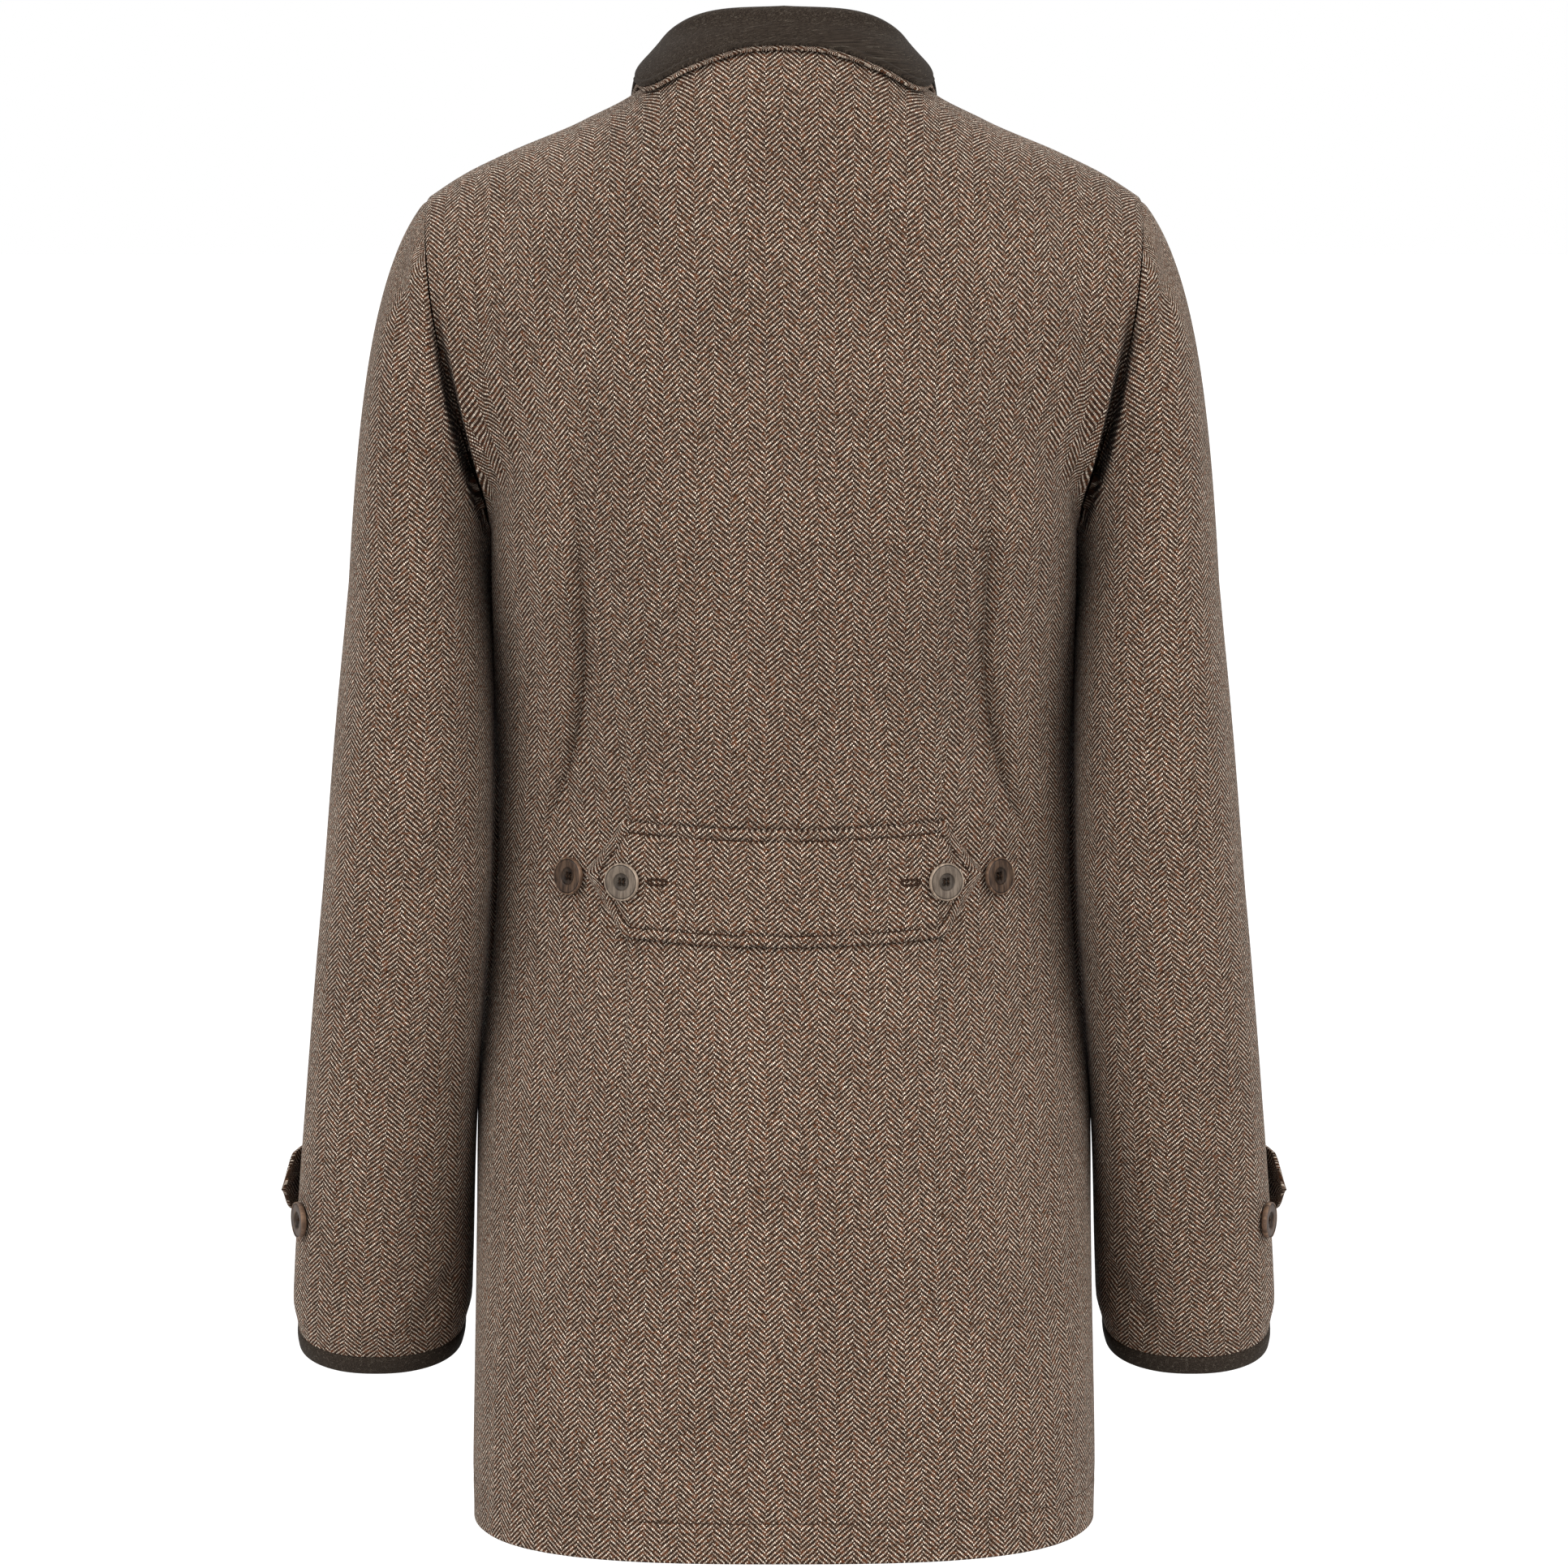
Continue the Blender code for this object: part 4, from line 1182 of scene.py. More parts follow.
def place_piece(
    name: str, mesh: Mesh, material: Material, nodes: Sequence[str] = ()
) -> Object:
    """Put a finished mesh into the scene and tie it to the frame.

    Args:
        name: Name of the piece.
        mesh: Its mesh, in place.
        material: Its finish.
        nodes: Frame nodes that it stands for.

    Returns:
        The object.
    """
    mesh.materials.append(material)
    piece = bpy.data.objects.new(name, mesh)
    bpy.context.scene.collection.objects.link(piece)
    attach(piece, "root")
    if nodes:
        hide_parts(*nodes)
    log.info("%s: %d faces", name, len(mesh.polygons))
    return piece


def place_cloth(
    name: str, shell: Shell, material: Material, node: str, rests_on: Sequence[str]
) -> Object:
    """Place a shell of cloth and work out the flat cut of the sheet that it came from.

    Args:
        name: Name of the piece.
        shell: Its wall.
        material: Its finish.
        node: Frame node that it stands for.
        rests_on: What it hangs from or lies on; not used.

    Returns:
        The object.
    """
    piece = place_piece(name, shell.mesh(name), material, [node])
    flat, area = shell.cut()
    return piece


@dataclass(frozen=True)
class StitchRun:
    """Row of machine stitches: short thread arches laid along a line."""

    pitch: float = 3.0
    length: float = 2.3
    radius: float = 0.28
    sides: int = 6
    rings: int = 6

    def mesh(self, name: str, path: Array, outwards: Array) -> Mesh:
        """Tubes that swell and rise in the middle of each stitch by a half sine.

        Args:
            name: Name of the mesh.
            path: Points of the line.
            outwards: Outward directions along it.

        Returns:
            Mesh of all the stitches.
        """
        run = run_length(path, 0)
        count = max(1, int(run[-1] / self.pitch))
        starts = (run[-1] - count * self.pitch) / 2 + self.pitch * np.arange(count)
        share = np.linspace(0.0, 1.0, self.rings)
        at = starts[:, None] + self.length * share
        centre = np.stack([np.interp(at, run, path[:, axis]) for axis in range(3)], axis=-1)
        facing = unit(np.stack([np.interp(at, run, outwards[:, axis]) for axis in range(3)], axis=-1))
        ahead = unit(centre[:, -1:] - centre[:, :1])
        aside = unit(np.cross(facing, ahead))
        arch = np.sin(math.pi * share)[None, :, None]
        centre = centre + facing * self.radius * (1.1 * arch - 0.5)
        angle = np.linspace(0.0, 2.0 * math.pi, self.sides, endpoint=False)
        round_out = np.cos(angle)[:, None] * facing[..., None, :] + np.sin(angle)[:, None] * aside[..., None, :]
        swell = self.radius * (0.35 + 0.65 * arch)[..., None]
        points = centre[..., None, :] + swell * round_out
        return tubes_mesh(name, points)


def tubes_mesh(name: str, points: Array) -> Mesh:
    """Mesh of many capped tubes.

    Args:
        name: Name of the mesh.
        points: Points by tube, ring and place round the ring.

    Returns:
        The mesh; its grain runs round and along each tube.
    """
    tubes, rings, sides = points.shape[:3]
    index = np.arange(tubes * rings * sides).reshape(tubes, rings, sides)
    wrapped = np.concatenate([index, index[..., :1]], axis=2)
    quads = np.concatenate([grid_quads(tube) for tube in wrapped])
    caps = np.concatenate([index[:, 0, ::-1][:, ::-1], index[:, -1, ::-1]])
    flat = points.reshape(-1, 3)[..., [0, 2]] * MM
    return put_mesh(name, points, [quads, caps], [flat[quads], flat[caps]])


@dataclass
class Panel:
    """What the back and the fronts share: wall, hem, seams and the spacing of columns and rows."""

    torso: Torso
    finishes: Finishes
    wall: float = 2.2
    neck_columns: int = 22
    shoulder_columns: int = 36
    lower_rows: int = 124
    upper_rows: int = 62
    hem_stitch_rise: float = 20.5
    hem_groove: float = 0.45
    hem_groove_width: float = 1.5
    hem_tuck: float = 3.0
    hem_tuck_span: float = 16.0
    hem_tuck_power: int = 8
    seam_dip: float = 0.8
    seam_dip_width: float = 0.004

    def half_turns(self, *extra: Array) -> Array:
        """Columns of the right half, close at the neck corner, with extra ones."""
        neck = self.torso.neck_turn * np.sin(np.linspace(0.0, 0.5 * math.pi, self.neck_columns + 1))
        shoulder = np.linspace(self.torso.neck_turn, 1.0, self.shoulder_columns + 1)
        return np.unique(np.concatenate([neck, shoulder, *extra]))

    def lifts(self, turns: Array, side: Side, extra: Sequence[float] = ()) -> Array:
        """Rows for each column from the hem to the neckline or shoulder seam, close at the hem stitches.

        Args:
            turns: Turns of the columns.
            side: Back or front.
            extra: Heights of extra rows.

        Returns:
            Lifts by column and row.
        """
        torso = self.torso
        heights = np.linspace(torso.hem_z, torso.underarm.z, self.lower_rows + 1)
        stitch = torso.hem_z + self.hem_stitch_rise + np.array([-2.2, -1.1, 0.0, 1.1, 2.2])
        low = torso.lift_of(np.unique(np.concatenate([heights, stitch, extra])))
        shares = np.unique(np.concatenate([np.linspace(0.0, 1.0, self.upper_rows + 1)[1:], [0.988, 0.996]]))
        high = torso.neck_lift(turns, side)[:, None] * shares
        return np.concatenate([np.repeat(low[None], len(turns), axis=0), high], axis=1)

    def edge_depth(self, turns: Array, z: Array) -> Array:
        """Depth of the hem's stitch groove, of the side seams and of the hem's tuck beside them."""
        rise = z - self.torso.hem_z
        groove = self.hem_groove * bell(rise - self.hem_stitch_rise, self.hem_groove_width)
        seam = self.seam_dip * bell(1.0 - np.abs(turns), self.seam_dip_width)
        return groove + seam + self.hem_tuck * bell(rise, self.hem_tuck_span) * turns**self.hem_tuck_power

    def hem_line(self, turns: Array, side: Side) -> tuple[Array, Array]:
        """Points and outward directions of the stitch line that holds up the hem."""
        surface = self.torso.back if side is Side.BACK else self.torso.front
        lift = np.full_like(turns, self.torso.lift_of(self.torso.hem_z + self.hem_stitch_rise))
        outwards = -side.value * normal_at(surface, turns, lift)
        return surface(turns, lift) - self.hem_groove * outwards, outwards


@dataclass
class BackPanel(Panel):
    """Whole back, cut in one piece, shaped by a fish-eye dart on each side."""

    belt: "HalfBelt" = field(kw_only=True)
    belt_press: float = 0.7
    belt_press_width: float = 1.2
    press_end_inset: float = 3.0
    press_end_span: float = 4.0
    ripple: float = 0.25
    dart_x: float = 83.0
    dart_turn: float = 0.34
    crease_turn: float = 0.56
    pair_half_gap: float = 0.001
    crease_fade_z: float = -640.0
    lead_from: float = 0.2
    lead_span: float = 0.5
    dart_top: float = -312.0
    dart_waist: float = -418.0
    dart_bottom: float = -580.0
    dart_take_up: float = 9.0
    dart_dip: float = 1.5
    dart_dip_width: float = 1.2
    hollows: tuple[Hollow, ...] = (Hollow(17.0, 9.0, -432.0, 65.0, 10.0), Hollow(14.0, 8.0, -280.0, 24.0, 10.0))
    creases: tuple[Crease, ...] = (
        Crease(133.0, -176.0, 154.0, -214.0, 1.6, 7.0),
        Crease(121.0, -196.0, 148.0, -232.0, -0.9, 8.0),
        Crease(146.0, -62.0, 159.0, -132.0, 2.2, 9.0),
        Crease(130.0, -80.0, 146.0, -150.0, -0.7, 10.0),
        Crease(120.0, -478.0, 138.0, -640.0, 1.3, 16.0),
        Crease(62.0, -500.0, 70.0, -700.0, 0.9, 20.0),
        Crease(26.0, -120.0, 30.0, -330.0, 0.5, 22.0),
    )

    def turns(self) -> Array:
        """Columns from side to side, close at the neck corners, darts and side seams."""
        beside = np.array([self.pair_half_gap, 0.006, 0.012, 0.019, 0.027])
        pairs = np.array([[self.dart_turn], [self.crease_turn]]) + np.concatenate([-beside, beside])
        seam = 1.0 - np.array([0.003, 0.008, 0.014, 0.021, 0.034, 0.041, 0.048])
        half = self.half_turns(pairs.ravel(), seam)
        return np.concatenate([-half[:0:-1], half])

    def dart_share(self, z: Array) -> Array:
        """Opening of the fish-eye dart, from 0 at its points to 1 at the waist."""
        above = (self.dart_top - z) / (self.dart_top - self.dart_waist)
        below = (z - self.dart_bottom) / (self.dart_waist - self.dart_bottom)
        return ease(np.minimum(above, below))

    def led(self, share: Array, z: Array) -> Array:
        """Turns of the columns, led so that one pair follows the dart and one the side crease.

        Args:
            share: Unmoved turns from 0 to 1.
            z: Heights of the rows.

        Returns:
            Moved turns: straight lines between the centre, dart, crease and side seam.
        """
        torso = self.torso
        dart = torso.turn_of(self.dart_x, z)
        crease = torso.turn_of(smooth_between(torso.folds, "x", z), z)
        settle = ease((z - self.crease_fade_z) / (torso.folds[0].z - self.crease_fade_z))
        crease = self.crease_turn + (crease - self.crease_turn) * settle
        inner, outer = self.dart_turn, self.crease_turn
        near = share / inner * dart
        middle = dart + (share - inner) / (outer - inner) * (crease - dart)
        far = crease + (share - outer) / (1.0 - outer) * (1.0 - crease)
        return np.where(share < inner, near, np.where(share < outer, middle, far))

    def pressed(self, x: Array, z: Array) -> Array:
        """Depth of the pressed line along the long edges of the half belt."""
        belt = self.belt
        middle = belt.z + belt.sag * (x / belt.corner_x) ** 2
        away = np.abs(np.abs(z - middle) - belt.half_height)
        past = ease((x - belt.corner_x + self.press_end_inset) / self.press_end_span)
        return self.belt_press * bell(away, self.belt_press_width) * (1.0 - past)

    def shell(self) -> Shell:
        """Body surface with its columns led along the darts and creases, then creased and thickened.

        Returns:
            The wall of the back.
        """
        torso = self.torso
        turns = self.turns()
        edges = self.belt.z + np.array([[-1.0], [1.0]]) * self.belt.half_height + np.linspace(-3.0, 5.5, 13)
        lifts = self.lifts(turns, Side.BACK, edges.ravel())
        share = np.abs(turns)[:, None]
        led = self.led(share, torso.height(np.minimum(lifts, 0.0)))
        fade = 1.0 - ease((lifts - self.lead_from) / self.lead_span)
        moved = np.sign(turns)[:, None] * (share + (led - share) * fade)
        points = torso.back(moved, lifts)
        run = run_length(points, 0)
        away = np.minimum(run, run[-1:] - run)
        points[..., 1] += torso.valley_depth(math.pi * (1.0 - np.clip(lifts, 0.0, 1.0)), away)
        outwards = grid_normals(points)
        x, z = np.abs(points[..., 0]), points[..., 2]
        depth = crease_depth(self.creases, x, z) + self.edge_depth(moved, z) + self.pressed(x, z)
        depth += self.dart_dip * self.dart_share(z) * bell(x - self.dart_x, self.dart_dip_width)
        for hollow in self.hollows:
            depth += hollow.depth * bell(away - hollow.away, hollow.width) * bell(z - hollow.z, hollow.span)
        depth += self.ripple * np.sin(points[..., 0] / 37.0 + z / 61.0) * np.sin(z / 47.0 - points[..., 0] / 83.0)
        outside = points - depth[..., None] * outwards
        grain = torso.grain(moved, lifts, Side.BACK, points)
        taken = self.dart_take_up * self.dart_share(z) * (share > self.dart_turn)
        taken = taken + smooth_between(torso.folds, "hidden", z) * (share > self.crease_turn)
        grain[..., 0] += np.sign(turns)[:, None] * taken
        return Shell(outside, outside - self.wall * outwards, grain)

    def build(self) -> None:
        """Place the back and its hem stitches."""
        place_cloth("back_cloth", self.shell(), self.finishes.tweed, "back", ["shoulders"])
        path, outwards = self.hem_line(np.linspace(-0.99, 0.99, 240), Side.BACK)
        mesh = StitchRun().mesh("hem_stitches_back", path, outwards)
        place_piece("hem_stitches_back", mesh, self.finishes.thread)


@dataclass
class Fronts(Panel):
    """Right front, lapped over the left one at the centre."""

    shoulder_columns: int = 40
    lap_columns: int = 6
    lower_rows: int = 110
    upper_rows: int = 56
    lap: float = 18.0
    lap_sink: float = 2.8
    lap_sink_from: float = 64.0
    lap_sink_full: float = 34.0
    crease_change: float = 0.2
    crease_change_length: float = 90.0
    creases: tuple[Crease, ...] = (
        Crease(128.0, -168.0, 112.0, -330.0, 2.2, 15.0),
        Crease(150.0, -150.0, 138.0, -300.0, -1.2, 14.0),
        Crease(112.0, -330.0, 134.0, -420.0, 1.8, 14.0),
        Crease(96.0, -470.0, 112.0, -690.0, 1.5, 20.0),
        Crease(52.0, -420.0, 40.0, -600.0, 0.8, 16.0),
        Crease(148.0, -70.0, 158.0, -130.0, 1.8, 9.0),
    )

    def lap_turn(self, lift: Array) -> Array:
        """Turn at which the front edge lies past the centre line."""
        torso = self.torso
        width = smooth_between(torso.sections, "half_width", torso.height(np.minimum(lift, 0.0)))
        slope = width * 0.5 * math.pi
        return self.lap / (slope + (torso.tip.x - slope) * np.maximum(lift, 0.0))

    def grid(self) -> tuple[Array, Array]:
        """Turns and lifts of the right front, from its edge to the side seam.

        Returns:
            Two grids of parameters.
        """
        half = self.half_turns(1.0 - np.array([0.003, 0.008]))
        past = np.linspace(-1.0, 0.0, self.lap_columns + 1)[:-1]
        past = np.concatenate([past[:1], [-0.96], past[1:]])
        turns = np.concatenate([past * self.lap_turn(np.array(0.0)), half])
        lifts = self.lifts(turns, Side.FRONT)
        grid = np.repeat(turns[:, None], lifts.shape[1], axis=1)
        grid[: len(past)] = past[:, None] * self.lap_turn(lifts[: len(past)])
        return grid, lifts

    def sunk(self, x: Array, hand: Hand) -> Array:
        """How far the left front lies beneath the lap."""
        share = ease((self.lap_sink_from - x) / (self.lap_sink_from - self.lap_sink_full))
        return self.lap_sink * share * (hand is Hand.LEFT)

    def shell(self, hand: Hand) -> Shell:
        """Front surface, creased; the left one is sunk beneath the lap.

        Args:
            hand: Right or left front.

        Returns:
            Its wall.
        """
        torso = self.torso
        turns, lifts = self.grid()
        points = torso.front(turns, lifts)
        outwards = -grid_normals(points)
        x, z = points[..., 0], points[..., 2]
        uneven = 1.0 + self.crease_change * hand.value * np.sin(z / self.crease_change_length)
        depth = crease_depth(self.creases, x, z) * uneven + self.edge_depth(turns, z) + self.sunk(x, hand)
        outside = points - depth[..., None] * outwards
        grain = torso.grain(turns, lifts, Side.FRONT, points)
        return Shell(outside, outside - self.wall * outwards, grain).placed(hand)

    def hem_stitches(self, hand: Hand) -> None:
        """Stitch line that holds up the hem of one front."""
        path, outwards = self.hem_line(np.linspace(-0.04, 0.99, 130), Side.FRONT)
        path = path - self.sunk(path[:, :1], hand) * outwards
        name = "hem_stitches_front_" + hand.word
        mesh = StitchRun().mesh(name, hand.place(path), hand.place(outwards))
        place_piece(name, mesh, self.finishes.thread)

    def build(self) -> None:
        """Place both fronts with their hem stitches."""
        for hand in Hand:
            node = "front_" + hand.word
            place_cloth(node + "_cloth", self.shell(hand), self.finishes.tweed, node, ["shoulders"])
            self.hem_stitches(hand)


@dataclass
class Sleeves:
    """Set-in sleeves with a softly rippled head, and the felt bindings of their cuffs."""

    arm: Arm
    finishes: Finishes
    wall: float = 2.2
    columns: int = 112
    head_rows: int = 40
    arm_rows: int = 116
    seam_gap: float = 0.3
    seam_dip: float = 0.9
    head_roll: float = 2.0
    head_roll_place: float = 9.0
    head_roll_width: float = 8.0
    head_trough: float = 2.6
    head_trough_place: float = 25.0
    head_trough_width: float = 11.0
    ripple: float = 0.35
    ripple_count: int = 15
    binding_depth: float = 10.0
    binding_wall: float = 2.4
    degree: float = 0.9
    cuff_tuck: float = 3.0
    cuff_tuck_span: float = 17.0
    rests: tuple[Rest, ...] = (
        Rest(207.0, -272.0, 26.0, 52.0, 4.6),
        Rest(205.0, -242.0, 24.0, 16.0, 3.0),
        Rest(185.0, -525.0, 30.0, 45.0, 1.0),
        Rest(0.0, -190.0, 60.0, 120.0, -2.0),
        Rest(360.0, -190.0, 60.0, 120.0, -2.0),
    )
    creases: tuple[Crease, ...] = (
        Crease(139.0, -642.0, 121.0, -664.0, 4.0, 7.0),
        Crease(146.0, -630.0, 128.0, -648.0, -1.2, 7.0),
        Crease(150.0, -398.0, 108.0, -420.0, 1.6, 10.0),
        Crease(158.0, -440.0, 118.0, -452.0, 1.2, 9.0),
        Crease(150.0, -474.0, 120.0, -500.0, 0.9, 10.0),
        Crease(212.0, -385.0, 262.0, -405.0, 2.2, 10.0),
        Crease(205.0, -425.0, 270.0, -432.0, 2.6, 9.0),
        Crease(215.0, -462.0, 262.0, -452.0, 1.8, 10.0),
        Crease(30.0, -300.0, 22.0, -420.0, 0.8, 16.0),
        Crease(70.0, -560.0, 52.0, -640.0, 0.7, 14.0),
    )

    def form(self) -> tuple[Array, Array]:
        """Plain right sleeve, drawn in a little at its cuff.

        Returns:
            Points and the angle of each column.
        """
        angles = np.linspace(0.0, 2.0 * math.pi, self.columns, endpoint=False)
        close = [0.006, 0.012, 0.018, 0.033, 0.042, 0.058]
        shares = np.unique(np.concatenate([np.linspace(0.0, 1.0, self.head_rows + 1), close]))
        head = self.arm.head(*np.meshgrid(angles, shares, indexing="ij"))
        heights = np.linspace(self.arm.rings[0].z, self.arm.rings[-1].z, self.arm_rows + 1)[1:]
        heights = np.sort(np.concatenate([heights, heights[-1] + np.array([0.7, 1.8])]))[::-1]
        arm = self.arm.ring(*np.meshgrid(angles, heights, indexing="ij"))
        points = np.concatenate([head, arm], axis=1)
        run = run_length(points, 1)
        tuck = self.cuff_tuck * (1.0 - ease((run[:, -1:] - run) / self.cuff_tuck_span))
        inwards = unit(points.mean(axis=0, keepdims=True) - points)
        return points + tuck[..., None] * inwards, angles

    def grids(self) -> tuple[Array, Array, Array]:
        """Outer points, outward normals and angles of the right sleeve, with the fold at its armhole.

        Returns:
            Points, normals and the angle of each column.
        """
        points, angles = self.form()
        behind = np.clip(np.where(angles < math.pi, angles, 0.0), 0.0, math.pi)[:, None]
        points[..., 1] += self.arm.torso.valley_depth(behind, run_length(points, 1))
        wrapped = np.concatenate([points[-1:], points, points[:1]])
        outwards = grid_normals(wrapped)[1:-1]
        inner = points.mean(axis=0, keepdims=True)
        outwards = outwards * np.sign(np.sum(outwards * (points - inner), axis=-1, keepdims=True))
        return points, outwards, angles

    def shell(self) -> Shell:
        """Right sleeve with its head rolled and rippled by the seam and its soft creases.

        Returns:
            The wall of the right sleeve.
        """
        plain, _ = self.form()
        points, outwards, angles = self.grids()
        run = run_length(plain, 1)
        round_turn = angles[:, None]
        degrees = np.degrees(round_turn)
        depth = crease_depth(
            [crease._replace(x=crease.x * self.degree, to_x=crease.to_x * self.degree) for crease in self.creases],
            degrees * self.degree, points[..., 2],
        )
        depth *= ease((run[:, -1:] - run) / 15.0)
        for rest in self.rests:
            beside = bell(degrees - rest.turn, rest.turn_width)
            depth -= rest.depth * beside * bell(points[..., 2] - rest.z, rest.z_width)
        upper = ease((np.cos(round_turn) + 0.55) / 0.8) * ease((np.abs(np.sin(round_turn)) - 0.15) / 0.45)
        roll = self.head_roll * bell(run - self.head_roll_place, self.head_roll_width)
        trough = self.head_trough * bell(run - self.head_trough_place, self.head_trough_width)
        ripple = self.ripple * np.sin(self.ripple_count * round_turn) * bell(run - 12.0, 11.0)
        depth += upper * (trough - roll + ripple)
        depth += self.seam_dip * (bell(run, 2.2) + 0.5 * bell(run - run[:, -1:], 1.6))
        outside = points - depth[..., None] * outwards
        closed = np.concatenate([plain, plain[:1]])
        across = run_length(closed, 0)
        behind = self.columns // 4
        across = across - across[behind]
        ring_row = self.head_rows + 6
        across[:, :ring_row] = self.head_grain(closed[:, :ring_row], across[:, ring_row])
        along = np.concatenate([run, run[:1]])
        grain = np.stack([across, -(along - along[:, ring_row : ring_row + 1])], axis=-1)
        return Shell(outside, outside - self.wall * outwards, grain, closed=True, first_bulge=0.0)

    def head_grain(self, points: Array, around: Array) -> Array:
        """Cross grain of the sleeve head, carried straight up from the first ring.

        Args:
            points: Points of the head, with the first column repeated at the end.
            around: Cross grain round the first ring.

        Returns:
            Cross grain of the points; near the shoulder tip it follows the columns instead.
        """
        ring = self.arm.rings[0]
        out = (points[..., 0] - ring.x) / ring.half_width
        behind = (ring.y - points[..., 1]) / ring.half_depth
        own = np.linspace(0.0, 2.0 * math.pi, len(points))
        seen = np.arctan2(behind, out)
        seen = own[:, None] + (seen - own[:, None] + math.pi) % (2.0 * math.pi) - math.pi
        laps = 2.0 * math.pi * np.array([[-1.0], [0.0], [1.0]])
        girth = around[-1] - around[0]
        angles = (own[:-1] + laps).ravel()
        carried = np.interp(seen, angles, (around[:-1] + girth * laps / (2.0 * math.pi)).ravel())
        near_axis = np.clip((0.8 - np.hypot(out, behind) / reach(seen, self.arm.roundness)) / 0.3, 0.0, 1.0)
        return carried + (around[:, None] - carried) * near_axis

    def binding(self) -> Shell:
        """Felt band below the right cuff, rounded at its lower edge.

        Returns:
            The wall of the binding.
        """
        points, outwards, _ = self.grids()
        down = unit(points[:, -1] - points[:, -4])
        share = np.array([0.0, 0.05, 0.12, 0.3, 0.5, 0.7, 0.88, 0.95, 1.0])
        start = points[:, -1] + self.seam_gap * down
        band = start[:, None] + self.binding_depth * share[:, None] * down[:, None]
        facing = outwards[:, -1:]
        puff = 0.5 * np.sin(math.pi * share)[:, None] - 0.7 * bell(share, 0.06)[:, None]
        outside = band + puff * facing
        closed = np.concatenate([band, band[:1]])
        grain = np.stack([run_length(closed, 0), run_length(closed, 1)], axis=-1)
        return Shell(outside, band - self.binding_wall * facing, grain, closed=True, first_bulge=0.0, last_bulge=0.9)

    def build(self) -> None:
        """Place both sleeves and their cuff bindings."""
        sleeve, binding = self.shell(), self.binding()
        tweed, felt = self.finishes.tweed, self.finishes.felt
        for hand in Hand:
            node, band = "sleeve_" + hand.word, "cuff_binding_" + hand.word
            place_cloth(node + "_cloth", sleeve.placed(hand), tweed, node, ["back"])
            place_cloth(band + "_cloth", binding.placed(hand), felt, band, [node])


